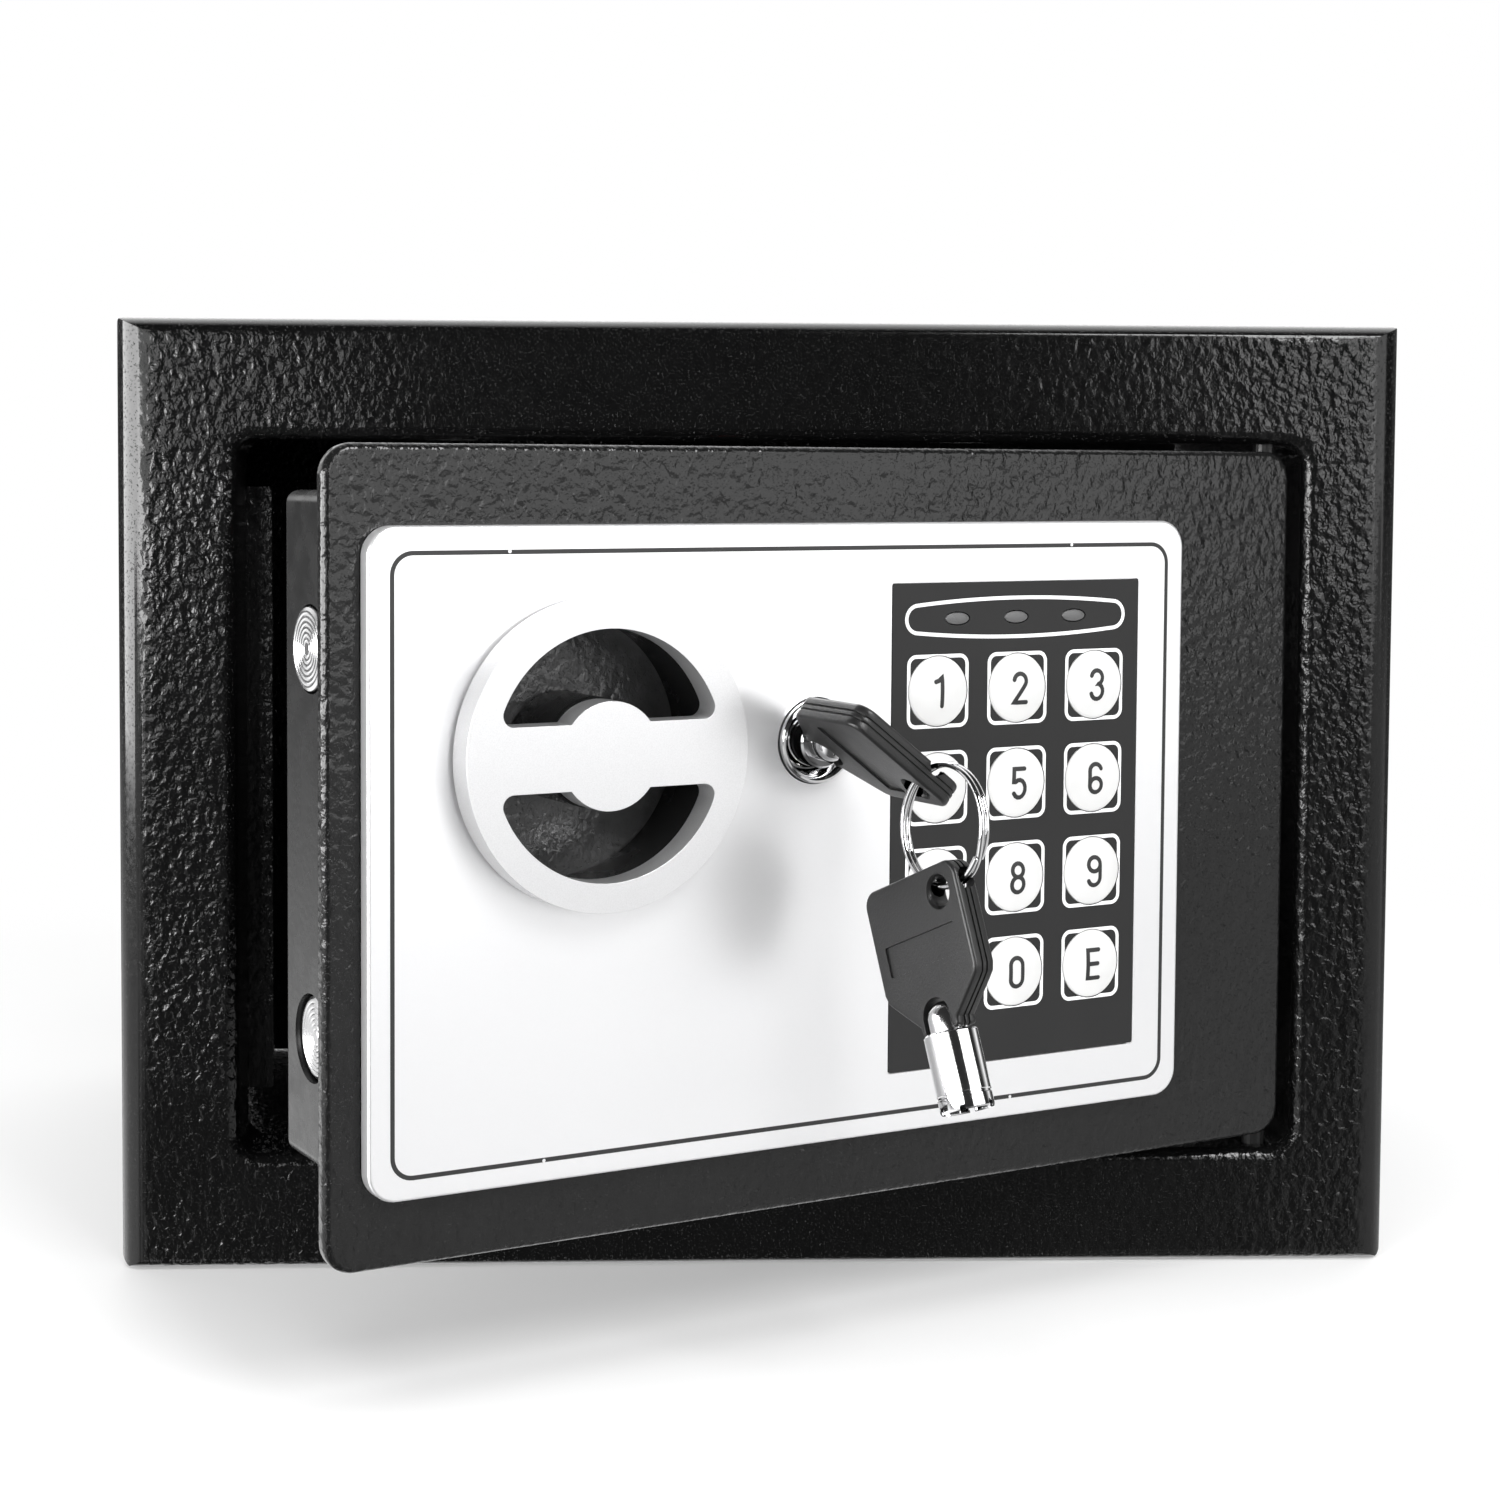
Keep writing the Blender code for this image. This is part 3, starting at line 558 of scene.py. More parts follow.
WELL_BLACK = plastic("well_black", grey(0.012), 0.25, 0.00001)
CHROME = metal("chrome", 0.80, 0.07, relief=0.000003)
TURNED = metal("turned_steel", 0.50, 0.24, relief=0.000006, scale=1400)
ZINC = metal("zinc_steel", 0.46, 0.34, (1.0, 1.0, 0.25), 0.00001, 700)
BOARD = circuit_board("board_green")
SLEEVE = cell_sleeve("cell_sleeve", tuple(-RIGHT), cell_end + CELL_BAND)
RED = plastic("button_red", (0.45, 0.015, 0.012), 0.32)


# Body

SIDE_BEND = 5.6
TOP_BEND = 2.5
TOP_DEPTH = 2.4  # the top bend is this many times as deep as it is high
FOOT_CORNER = 2.6
HEAD_CORNER = 1.5
LEAST_BEND = 0.6


def body_block(name, inset, y1):
    """Solid block with the sheet's bends: plan, side view and front view intersected."""
    half = body_high.x / MM - inset
    y0 = body_low.y / MM + inset
    top = body_high.z / MM - inset
    side = max(SIDE_BEND - inset, LEAST_BEND)
    bend = max(TOP_BEND - inset, LEAST_BEND)
    deep = TOP_DEPTH * bend

    plan = [(-half, y1), (-half, y0 + side)]
    for a in quarter(12)[1:]:
        plan.append((-half + side * (1 - math.cos(a)), y0 + side * (1 - math.sin(a))))
    for a in quarter(12):
        plan.append((half - side * (1 - math.sin(a)), y0 + side * (1 - math.cos(a))))
    plan.append((half, y1))
    block = prism(name, plan, inset, top)

    side_view = [(y1, inset), (y0 + bend, inset)]
    for a in quarter(10)[1:]:
        side_view.append((y0 + bend * (1 - math.sin(a)), inset + bend * (1 - math.cos(a))))
    for a in quarter(14):
        side_view.append((y0 + deep * (1 - math.cos(a)), top - bend * (1 - math.sin(a))))
    side_view.append((y1, top))
    limit = move(prism("limit", side_view, -half - 1, half + 1), LENGTHWAYS)

    foot = max(FOOT_CORNER - inset, 0.4)
    head = max(HEAD_CORNER - inset, 0.4)
    front = []
    for cx, cy, r, start in (
        (half - head, top - head, head, 0),
        (head - half, top - head, head, 90),
        (foot - half, inset + foot, foot, 180),
        (half - foot, inset + foot, foot, 270),
    ):
        front += arc(cx, cy, r, r, start, start + 90, 6)
    corners = move(prism("corners", front, y0 - 1, y1 + 1), STAND)
    return combine(block, [limit, corners], "INTERSECT")


def doorway(grow=0.0):
    x0, x1, z0, z1 = DOORWAY
    return x0 - grow, x1 + grow, z0 - grow, z1 + grow


def build_body():
    y0, y1 = body_low.y / MM, body_high.y / MM
    shell = body_block("casing", 0.0, y1)
    cut(shell, body_block("room", SHEET, y1 + 5))
    lip = (*doorway(SHEET), y0 + 0.6, -70.0)
    join(shell, move(slab("lip", lip, DOORWAY_CORNER + SHEET), STAND))

    levels = [(-6.0, DOORWAY_ROLL)]
    for a in quarter(7):
        levels.append((DOORWAY_ROLL * (1 - math.cos(a)), DOORWAY_ROLL * (1 - math.sin(a))))
    levels.append((25.0, 0.0))
    rings = []
    for depth, grow in levels:
        ring = rect(*doorway(grow), DOORWAY_CORNER + grow, 10)
        rings.append([(x, y0 + depth, z) for x, z in ring])
    cut(shell, loft("mouth", rings))

    for x in (-BORE_X, BORE_X):
        cut(shell, drum(BORE, -3, 4, x, FLOOR_BORE_Y))
    hinge = Vector(JOINTS["door_hinge"]["pos_m"]) / MM
    cut(shell, drum(2.3, 10, 160, hinge.x, hinge.y, 32))
    place(shell, "casing", WORLD, "case", PAINT_BODY, ["body_shell"])

    back = slab("rear", (-113.2, 113.2, 1.8, 168.2, 83.5, 85.0), 1.0, 0.0, 0.4, 4, 3)
    holes = [drum(BORE, 80, 90, x, WALL_BORE_Z) for x in (-BORE_X, BORE_X)]
    cut(back, together(holes))
    move(back, STAND)
    place(back, "back_wall", WORLD, "case", PAINT_REAR, ["rear_panel"])
    dress("keeper_bar", PAINT_REAR, 0.5)


# Door

BOLTS = ("bolt_upper", "bolt_lower")
SCREWS = [f"cover_screw_{i}" for i in (1, 2, 3, 4)]


def build_door():
    well = spot_on_face("knob_well")
    lock = spot_on_face("lock_body")
    plate = slab("plate", on_face("door_plate"), 5.0, 0.9, 1.2, 12, 6)
    holes = [drum(WELL_HOLE, -9, 5, *well, 72), drum(6.5, -9, 5, *lock)]
    cut(plate, together(holes))
    place(plate, "door_skin", FACE, "door", PAINT_DOOR, ["door_plate"])
    dress("hinge_rod", BOX_BLACK, 0.3)
    # the well's floor takes the lighter copy of the black coat, painted light for its lit look
    dress("lock_base_plate", PAINT_WELL_LIT, 0.4)
    build_inner_box()


def build_inner_box():
    x0, x1, y0, y1, z0, z1 = on_face("door_inner_box")
    box = slab("pan", (x0, x1, y0, y1, z0, z1), 2.0, 1.5, 0.0, 5, 5)
    t = PAN_SHEET
    cut(box, slab("room", (x0 + t, x1 - t, y0 + t, y1 - t, z0 + t, 4), 1.0, 0.6, 0.0, 5, 3))
    cx0, cx1, cy0, cy1, _, _ = on_face("battery_case")
    cut(box, slab("window", (cx0 + 2, cx1 - 2, cy0 + 2, cy1 - 2, z0 - 4, -30), 1.5))
    for bolt in BOLTS:
        _, _, by0, by1, bz0, bz1 = on_face(bolt)
        where = Matrix.Translation((x0, (by0 + by1) / 2, (bz0 + bz1) / 2))
        tool = drum(7.05, -8, 8)
        cut(box, move(tool, where @ Matrix.Rotation(math.radians(90), 4, "Y")))
    small = [drum(2.1, z0 - 3, z0 + 3, *spot_on_face(screw), 24) for screw in SCREWS]
    small.append(drum(3.3, z0 - 3, z0 + 3, *spot_on_face("reset_button"), 32))
    cut(box, together(small))
    soften(box, 0.18, 2, 50)
    place(box, "door_pan", FACE, "door", BOX_BLACK, ["door_inner_box"])
    for i, node in enumerate(SCREWS, 1):
        _, _, _, _, low, high = on_face(node)
        head = (
            (0, low), (2.2, low + 0.1), (3.1, low + 0.6), (3.6, low + 1.5), (3.6, low + 2.3),
            (1.8, low + 2.35),
        )
        screw = lathe("screw", head + ((1.8, high), (0, high)), 32)
        cross = []
        for turn in (0, 90):
            arm = slab("arm", (-0.4, 0.4, -1.9, 1.9, low - 1, low + 1.0), 0.1, 0.0, 0.0, 1)
            cross.append(move(arm, Matrix.Rotation(math.radians(turn + 20 * i), 4, "Z")))
        cut(screw, *cross)
        place(screw, f"pan_screw_{i}", at(*spot_on_face(node)), "door", ZINC, [node])


# Fascia, label and keys

KEY_NAMES = ("1", "2", "3", "4", "5", "6", "7", "8", "9", "clear", "0", "enter")
LED_NAMES = ("left", "middle", "right")


def key_holes():
    return [drum(KEY_HOLE, -9, 9, *spot_on_face("key_" + name), 48) for name in KEY_NAMES]


def lamp_holes(half_x, half_y):
    holes = []
    for name in LED_NAMES:
        where = Matrix.Translation((*spot_on_face("led_lens_" + name), 0))
        oval = Matrix.Diagonal((half_x, half_y, 1, 1))
        holes.append(move(drum(1.0, -9, 9, steps=40), where @ oval))
    return holes


def build_fascia():
    box = on_face("fascia")
    fascia = slab("fascia", box, 4.6, 0.0, 0.55, 12, 4)
    label_box = on_face("keypad_label")
    x0, x1, y0, y1, z0, _ = label_box
    gap = 0.15
    recess = (x0 - gap, x1 + gap, y0 - gap, y1 + gap, z0 - 0.2, 9)
    cut(fascia, drum(WELL_HOLE, -9, 9, *spot_on_face("knob_well"), 96))
    cut(fascia, drum(7.05, -9, 9, *spot_on_face("lock_body"), 64))
    cut(fascia, slab("recess", recess, 0.5, 0, 0, 3))
    cut(fascia, together(key_holes()))
    label = slab("label", label_box, 0.5, 0.0, 0.08, 4, 2)
    cut(label, together(key_holes() + lamp_holes(2.55, 1.15)))
    cut(fascia, together(lamp_holes(2.6, 1.2)))
    place(fascia, "front_panel", FACE, "door", FASCIA, ["fascia"], 40)
    place(label, "keypad_sheet", FACE, "door", LABEL, ["keypad_label"], 40)
    build_leds()
    build_printing(box[5], label_box[5])
    build_keys_of_pad()


def build_leds():
    for name in LED_NAMES:
        node = "led_lens_" + name
        _, _, _, _, low, high = on_face(node)
        profile = (
            (0, high), (0.45, high - 0.01), (0.8, high - 0.06), (0.95, high - 0.14),
            (1, high - 0.3), (1, low), (0, low),
        )
        lens = lathe("lens", profile, 48)
        move(lens, Matrix.Diagonal((2.4, 1.0, 1, 1)))
        place(lens, "lens_" + name, at(*spot_on_face(node)), "door", LED_GREY, [node])


def fine(path, closed, step=0.5):
    """The path with points at most step apart, so that a long stroke follows a curved surface."""
    path = [Vector(p) for p in path]
    found = []
    for a, b in zip(path, path[1:] + path[:1] if closed else path[1:]):
        count = max(1, math.ceil((b - a).length / step))
        found += [a + (b - a) * k / count for k in range(count)]
    return found if closed else found + [path[-1]]


def sections(path, half, closed):
    """(centre, sideways direction, half width) along a flat stroke, round at open ends."""
    path = [Vector(p) for p in path]
    found = []
    last = len(path) - 1
    for i, point in enumerate(path):
        before = path[i - 1] if i or closed else None
        after = path[(i + 1) % (last + 1)] if i < last or closed else None
        ways = []
        if before:
            ways.append((point - before).normalized())
        if after:
            ways.append((after - point).normalized())
        along = sum(ways, Vector((0, 0))).normalized()
        side = Vector((-along.y, along.x))
        found.append((point, side, half / max(0.55, along.dot(ways[0]))))
    if closed:
        return found
    start, end = [], []
    for degrees in (75, 50, 25):
        back, wide = half * math.sin(math.radians(degrees)), half * math.cos(math.radians(degrees))
        for point, side, _, group, sign in ((*found[0], start, -1), (*found[-1], end, 1)):
            along = Vector((side.y, -side.x)) * sign
            group.append((point + along * back, side, wide))
    return start + found + end[::-1]


def stroke(name, path, width, height, closed=False, thick=0.04):
    """Printed line on the surface height(x, y): a thin closed ribbon."""
    rings = []
    for point, side, half in sections(path, width / 2, closed):
        ring = []
        for share, lift in ((-1, -thick), (-1, 0), (0, 0), (1, 0), (1, -thick)):
            spot = point + side * half * share
            ring.append((spot.x, spot.y, height(spot.x, spot.y) + lift + INK_LIFT))
        rings.append(ring)
    return loft(name, rings, closed)


def flat(level):
    return lambda x, y: level


def build_printing(panel_z, label_z):
    """Line round the panel with its four small nicks, outlines of the keys and of the lamps."""
    x0, x1, y0, y1, _, _ = on_face("fascia")
    ring = rect(x0 + 3.85, x1 - 3.72, y0 + 3.45, y1 - 4.05, 3.3, 10)
    line = stroke("line", ring, LINE_WIDTH, flat(panel_z), True)
    nicks = []
    for x, y in ((-156.0, y1 - 3.95), (-51.0, y1 - 3.95), (-150.1, y0 + 3.35), (-62.5, y0 + 3.35)):
        nicks.append(drum(0.3, panel_z - 1, panel_z + 1, x, y, 12))
    cut(line, together(nicks))
    place(line, "panel_line", FACE, "door", INK_DARK)
    for name in KEY_NAMES:
        x, y = spot_on_face("key_" + name)
        ring = rect(-5.8, 5.8, -5.8, 5.8, 1.45, 8)
        outline = stroke("outline", ring, OUTLINE_WIDTH, flat(label_z), True)
        cut(outline, drum(KEY_HOLE, 0, 6, steps=48))
        place(outline, "outline_" + name, at(x, y), "door", INK_WHITE)
    x, y = spot_on_face("led_lens_middle")
    path = arc(0, -207.75, 211.0, 211.0, 84.6, 95.4, 16) + arc(-20.0, 0, 2.3, 2.3, 102, 258, 14)
    path += arc(0, 207.75, 211.0, 211.0, 264.6, 275.4, 16) + arc(20.0, 0, 2.3, 2.3, -78, 78, 14)
    lamps = stroke("lamps", path, OUTLINE_WIDTH, flat(label_z), True)
    place(lamps, "lamp_outline", at(x + 0.25, y), "door", INK_WHITE)


W, H = 1.22, 2.42  # half a figure's width and height
GLYPHS = {
    "1": [([(-0.95, 1.62), (-0.35, 1.8), (0.3, 2.35), (0.3, -H)], False)],
    "2": [(arc(0, H - W, W, W, 170, -28) + [(-W, -H), (W + 0.1, -H)], False)],
    "3": [(arc(0, 1.25, 1.15, 1.2, 165, -85) + arc(0, -1.15, W, 1.3, 80, -165), False)],
    "4": [
        ([(0.25, H), (-W - 0.1, -1.1), (W + 0.1, -1.1)], False),
        ([(0.6, 0.5), (0.6, -H)], False),
    ],
    "5": [([(W - 0.05, H), (-0.95, H), (-1.12, 0.25)] + arc(0, -0.95, W, 1.5, 128, -150), False)],
    "6": [(arc(0, H - W, W, W, 20, 180) + arc(0, -H + W, W, W, 180, 540, 22), False)],
    "7": [([(-W, H), (W, H), (0.2, 0.2), (-0.25, -H)], False)],
    "8": [(arc(0, 1.3, 1.1, 1.15, 0, 345, 22), True), (arc(0, -1.15, W, 1.3, 0, 345, 22), True)],
    "9": [(arc(0, -H + W, W, W, 200, 360) + arc(0, H - W, W, W, 0, 360, 22), False)],
    "0": [(arc(0, H - W, W, W, 0, 180) + arc(0, -H + W, W, W, 180, 360), True)],
    "E": [
        ([(W, H), (-W + 0.15, H), (-W + 0.15, -H), (W, -H)], False),
        ([(-W + 0.2, 0.05), (W - 0.25, 0.05)], False),
    ],
    "C": [(arc(0, H - W, W, W, 20, 180) + arc(0, -H + W, W, W, 180, 340), False)],
}


KEY_TOP = 4.05
LEGENDS = {"clear": "C", "enter": "E"}


def dome(x, y):
    """Height of a pad key's crown."""
    return KEY_TOP - 0.66 * (x * x + y * y) / 5.2**2


def build_keys_of_pad():
    for name in KEY_NAMES:
        node = "key_" + name
        spot = spot_on_face(node)
        base = on_face(node)[4]
        profile = [(0, KEY_TOP)] + [(r, dome(r, 0)) for r in (1.4, 2.7, 3.8, 4.7, 5.2)]
        profile += [(5.55, 3.30), (5.78, 3.12), (5.85, 2.85), (5.85, base), (0, base)]
        key = lathe("key", profile, 64)
        place(key, "pad_" + node, at(*spot), "button_" + name, KEY_WHITE, [node])
        for i, (path, closed) in enumerate(GLYPHS[LEGENDS.get(name, name)], 1):
            mark = stroke("mark", fine(path, closed), LEGEND_WIDTH, dome, closed, 0.05)
            body = "button_" + name
            place(mark, f"legend_{name}_{i}", at(*spot), body, INK_DARK, angle=60)


# Knob, well and lock

KNOB_RADIUS = 24.0


def finger_hole(side):
    """Outline of one D-shaped opening, above (+1) or below (-1) the crossbar."""
    fillet = 1.8
    bar = 5.05  # half the crossbar's width
    reach = 19.4  # outer radius of the opening
    disc = 8.4  # radius of the boss in the middle of the crossbar
    cy = bar + fillet
    cx = math.sqrt((reach - fillet) ** 2 - cy**2)
    low = math.degrees(math.atan2(cy, cx))
    tip = math.degrees(math.atan2(bar, math.sqrt(disc**2 - bar**2)))
    points = arc(cx, cy, fillet, fillet, -90, low, 8)
    points += arc(0, 0, reach, reach, low, 180 - low, 48)[1:-1]
    points += arc(-cx, cy, fillet, fillet, 180 - low, 270, 8)
    points += arc(0, 0, disc, disc, 180 - tip, tip, 20)
    return [(x, side * y) for x, y in points]


def build_knob():
    spot = spot_on_face("knob")
    _, _, _, _, low, high = on_face("knob")
    radius = KNOB_RADIUS
    knob = lathe("knob", ((0, high), (radius, high), (radius, low), (0, low)), 128)
    cut(knob, prism("upper", finger_hole(1), -2, 16), prism("lower", finger_hole(-1), -2, 16))
    soften(knob, 0.28, 3, 40)
    place(knob, "knob_ring", at(*spot), "knob", KNOB, ["knob"])
    _, _, _, _, floor, mouth = on_face("knob_well")
    profile = (
        (22.2, mouth), (22.2, floor), (21.0, floor), (21.0, mouth - 0.5), (21.15, mouth - 0.15),
        (21.5, mouth),
    )
    wall = lathe("wall", profile, 96)
    place(wall, "well_wall", at(*spot), "door", WELL_BLACK, ["knob_well"])
    _, _, _, _, foot, top = on_face("knob_hub")
    profile = (
        (0, top), (7.4, top), (8.2, top - 0.35), (8.6, top - 1.0), (8.6, -9.3), (8.3, -10.0),
        (3.0, -10.0), (3.0, foot + 0.3), (2.7, foot), (0, foot),
    )
    hub = lathe("hub", profile, 64)
    place(hub, "knob_stem", at(*spot), "knob", WELL_BLACK, ["knob_hub"])
    dress("knob_crank", ZINC, 0.25)


def build_lock():
    spot = spot_on_face("lock_body")
    _, _, _, _, low, high = on_face("lock_body")
    profile = (
        (6.35, high), (6.62, high - 0.06), (6.80, high - 0.25), (6.85, high - 0.5), (6.85, 1.0),
        (6.2, 0.2), (6.2, low), (5.15, low), (5.15, 0.8), (5.25, 1.1), (5.5, 1.9), (5.72, 2.9),
        (5.85, 3.6), (6.02, high - 0.2),
    )
    bezel = lathe("bezel", profile, 72)
    place(bezel, "lock_bezel", at(*spot), "door", CHROME, ["lock_body"])
    _, _, _, _, low, high = on_face("lock_plug")
    profile = (
        (0, 0.7), (2.7, 0.7), (3.15, 0.35), (3.15, -7.0), (4.4, -7.0), (4.4, 0.55), (4.55, high),
        (4.8, high), (4.95, 0.6), (4.95, low), (0, low),
    )
    plug = lathe("plug", profile, 64)
    place(plug, "lock_core", at(*spot), "plug", CHROME, ["lock_plug"])
    dress("lock_nut", ZINC, 0.3)
    dress("lock_tailpiece", ZINC, 0.25)


# Keys and ring

SPARE_KEY = (  # where it hangs: its shoulder in row millimetres, then across and along
    (23.04, -160.05, 58.87), (0.498, -0.773, 0.392), (-0.182, 0.348, 0.920),
)
KEY_ROLL = math.radians(37.5)
KEY_SHOULDER = 5.7  # how far the first key's shoulder stands out from the plate's face
BOW_HALF = 1.95  # half a key head's thickness
RING_HOLE = (6.6, 20.2)  # across and along the head
RING_HOLE_RADIUS = 2.3


def key_frame(origin, across, along):
    """Frame of a key: x across the head, y along it away from the shoulder, z out of its face."""
    b = Vector(across).normalized()
    a = (Vector(along) - b * Vector(along).dot(b)).normalized()
    return axes(b, -a.cross(b), a, Vector(origin) * MM) @ Matrix.Diagonal((1, -1, 1, 1))


def key_outline(grow=0.0, corner=2.6):
    half, neck, length, shoulder = 11.3 + grow, 4.4 + grow, 24.4 + grow, 6.9
    points = [(neck, 0.2 - grow), (neck + 0.1, 1.6)]
    points += [(half - 1.6, shoulder - 1.1), (half - 0.5, shoulder - 0.1), (half, shoulder + 1.2)]
    points += arc(half - corner, length - corner, corner, corner, 0, 90, 8)
    return points + [(-x, y) for x, y in reversed(points)]


def build_key(head_node, barrel_node, matrix, body, ring_path):
    """Plastic head with two seams, a notch, a blank recessed patch on each face and a ring hole."""
    half = BOW_HALF
    head = soften(prism("head", key_outline(), -half, half), 0.55, 3, 50)
    seams = []
    for side in (-1, 1):
        low, high = sorted((side * 0.28, side * 0.62))
        band = prism("band", key_outline(1.0, 3.4), low, high)
        seams.append(cut(band, prism("core", key_outline(-0.3, 2.4), -3, 3)))
    cut(head, *seams)
    cut(head, slab("notch", (-3.3, 3.3, -6.0, 5.4, -6, 6), 3.2, 0, 0, 10))
    for side in (-1, 1):
        low, high = sorted((side * (half - 0.35), side * 6))
        cut(head, slab("patch", (-8.6, 8.6, 10.4, 15.2, low, high), 0.4, 0, 0, 3))
    cut(head, drum(RING_HOLE_RADIUS, -6, 6, *RING_HOLE, 32))
    for side in (-1, 1):
        cone = lathe("cone", ((0, 0), (2.25, 0), (3.2, 1.4), (0, 1.4)), 32)
        turn = Matrix.Identity(4) if side > 0 else Matrix.Rotation(math.pi, 4, "X")
        cut(head, move(cone, Matrix.Translation((*RING_HOLE, side * (half - 0.7))) @ turn))
    move(head, STAND)
    move(head, matrix)
    cut(head, ring_path)
    soften(head, 0.09 * MM, 2, 50)
    name = head_node.replace("head", "bow")
    place(head, name, Matrix.Identity(4), body, BLACK_PLASTIC, [head_node], 38)
    build_barrel(barrel_node, matrix, body)


def build_barrel(node, matrix, body):
    """Chrome tube with a groove and rim cuts at its tip, and a rounded stub in the notch."""
    profile = (
        (0, 4.8), (1.1, 4.68), (2.0, 4.2), (2.65, 3.4), (3.0, 2.4), (3.0, 0), (3.9, -0.05),
        (4.2, -0.35), (4.2, -9.3), (4.05, -9.45), (4.05, -9.75), (4.2, -9.9), (4.2, -11.6),
        (4.0, -12.0), (3.55, -12.0), (3.4, -11.85), (3.4, -2.5), (0, -2.5),
    )
    barrel = lathe("barrel", profile, 64)
    cuts = []
    for degrees, depth in ((20, 1.0), (75, 0.6), (130, 1.3), (200, 0.8), (255, 1.1), (310, 0.7)):
        tool = slab("bit", (3.0, 4.8, -0.45, 0.45, -13.0, -12.0 + depth), 0.2, 0, 0, 3)
        cuts.append(move(tool, Matrix.Rotation(math.radians(degrees), 4, "Z")))
    cut(barrel, together(cuts))
    place(barrel, node.replace("barrel", "tube"), matrix, body, CHROME, [node], 40)


def ring_matrix():
    axis = Vector(JOINTS["ring_swing"]["axis"]).normalized()
    low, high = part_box("key_ring")
    side = axis.cross(UP).normalized()
    return axes(side, axis.cross(side), axis, (low + high) / 2)


def build_ring():
    """Split ring: one wire wound twice, its ends lying along the turn beside them."""
    radius, wire = RING_RADIUS, RING_WIRE
    path = []
    count = 168
    for i in range(count + 1):
        turns = 2.0 * i / count
        a = 2 * math.pi * turns + math.radians(25)
        cross = min(max((turns - 0.94) / 0.12, 0.0), 1.0)
        offset = -wire + 2 * wire * cross * cross * (3 - 2 * cross)
        out = Vector((math.cos(a), math.sin(a), 0))
        path.append((out * radius + Vector((0, 0, offset)), out))
    return tube("split", path, wire, 14)


def build_keys():
    where = ring_matrix()
    for matrix, body in ((first_key(), "key"), (key_frame(*SPARE_KEY), "spare_key")):
        tunnel = move(wheel(RING_RADIUS, 1.65), where)
        build_key(body + "_head", body + "_barrel", matrix, body, tunnel)
    place(build_ring(), "split_ring", where, "ring", CHROME, ["key_ring"])


def turn_points(count):
    return [2 * math.pi * k / count for k in range(count)]


def wheel(major, minor):
    """Ring-shaped tool about z that clears the split ring's path through a key head."""
    rings = []
    for turn in turn_points(48):
        out = Vector((math.cos(turn), math.sin(turn), 0))
        section = [minor * (math.cos(a) * out + math.sin(a) * UP) for a in turn_points(12)]
        rings.append([out * major + point for point in section])
    return loft("wheel", rings, True)


def first_key():
    """Frame of the key in the lock."""
    across = RIGHT * math.cos(KEY_ROLL) - UP * math.sin(KEY_ROLL)
    shoulder = FACE @ Vector((*spot_on_face("lock_body"), KEY_SHOULDER))
    return key_frame(shoulder / MM, across, OUT)


# Bolts, works and batteries

BOLT_SHOULDER = 148.3  # where the thick part ends, from the door plate's hinge side edge
LID_FACE = -37.9


def build_bolts():
    """Bolts with turned rings on their tips, and the works that keep their CAD shape."""
    for node in BOLTS:
        x0, x1, y0, y1, z0, z1 = on_face(node)
        tip, tail, seat = -x0, -x1, BOLT_SHOULDER
        r = (y1 - y0) / 2
        rings = []
        for k in range(6):
            edge = 1.0 + 0.85 * k
            rings += [(edge, tip), (edge + 0.25, tip - 0.12), (edge + 0.5, tip)]
        profile = [(0, tip), *rings, (r - 0.7, tip), (r - 0.2, tip - 0.25), (r, tip - 0.8)]
        profile += [(r, seat + 0.3), (r - 0.3, seat), (2.5, seat), (2.5, tail + 0.3)]
        profile += [(2.2, tail), (0, tail)]
        bolt = lathe("bolt", profile, 72)
        where = axes(UP, -OUT, -RIGHT, FACE @ Vector((0, (y0 + y1) / 2, (z0 + z1) / 2)))
        place(bolt, node + "_pin", where, "bolts", TURNED, [node], 25)
    dress("bolt_carriage", ZINC, 0.25)
    dress("solenoid_body", ZINC, 0.3)
    dress("solenoid_plunger", TURNED)
    dress("control_board", BOARD, 0.1)
    dress("battery_case", BLACK_PLASTIC, 0.25)
    for i in (1, 2, 3, 4):
        dress(f"battery_{i}", SLEEVE, 0.2)
    dress("reset_button", RED, 0.2)
    build_cover()


def build_cover():
    x0, x1, y0, y1, z0, z1 = on_face("battery_cover")
    face = LID_FACE
    lid = slab("lid", (x0, x1, y0, y1, face, z1), 1.5, 0.5, 0.0, 6, 4)
    centre = (x0 + x1) / 2
    grip = (centre - 12, centre + 12, y0 + 5, y0 + 8, z0, face + 0.5)
    join(lid, slab("grip", grip, 1.2, 0.5, 0.0, 5, 4))
    grooves = []
    for k in range(4):
        top = y1 - 8 - 2.2 * k
        box = (centre - 9, centre + 9, top - 1, top, face - 1, face + 0.3)
        grooves.append(slab("groove", box, 0.45, 0, 0, 3))
    cut(lid, together(grooves))
    place(lid, "battery_lid", FACE, "cover", BLACK_PLASTIC, ["battery_cover"])


# Studio

def softbox(name, spot, target, size, radiance):
    """Rectangular area light, hidden from the camera, of the given radiance."""
    light = bpy.data.lights.new(name, "AREA")
    light.shape = "RECTANGLE"
    light.size, light.size_y = size
    light.energy = radiance * math.pi * size[0] * size[1]
    obj = bpy.data.objects.new(name, light)
    obj.location = spot
    obj.rotation_euler = (Vector(target) - Vector(spot)).to_track_quat("-Z", "Y").to_euler()
    obj.visible_camera = False
    SCENE.collection.objects.link(obj)
    return obj


WORLD_LEAST = 0.04
FLOOR_RADIUS = 1.4


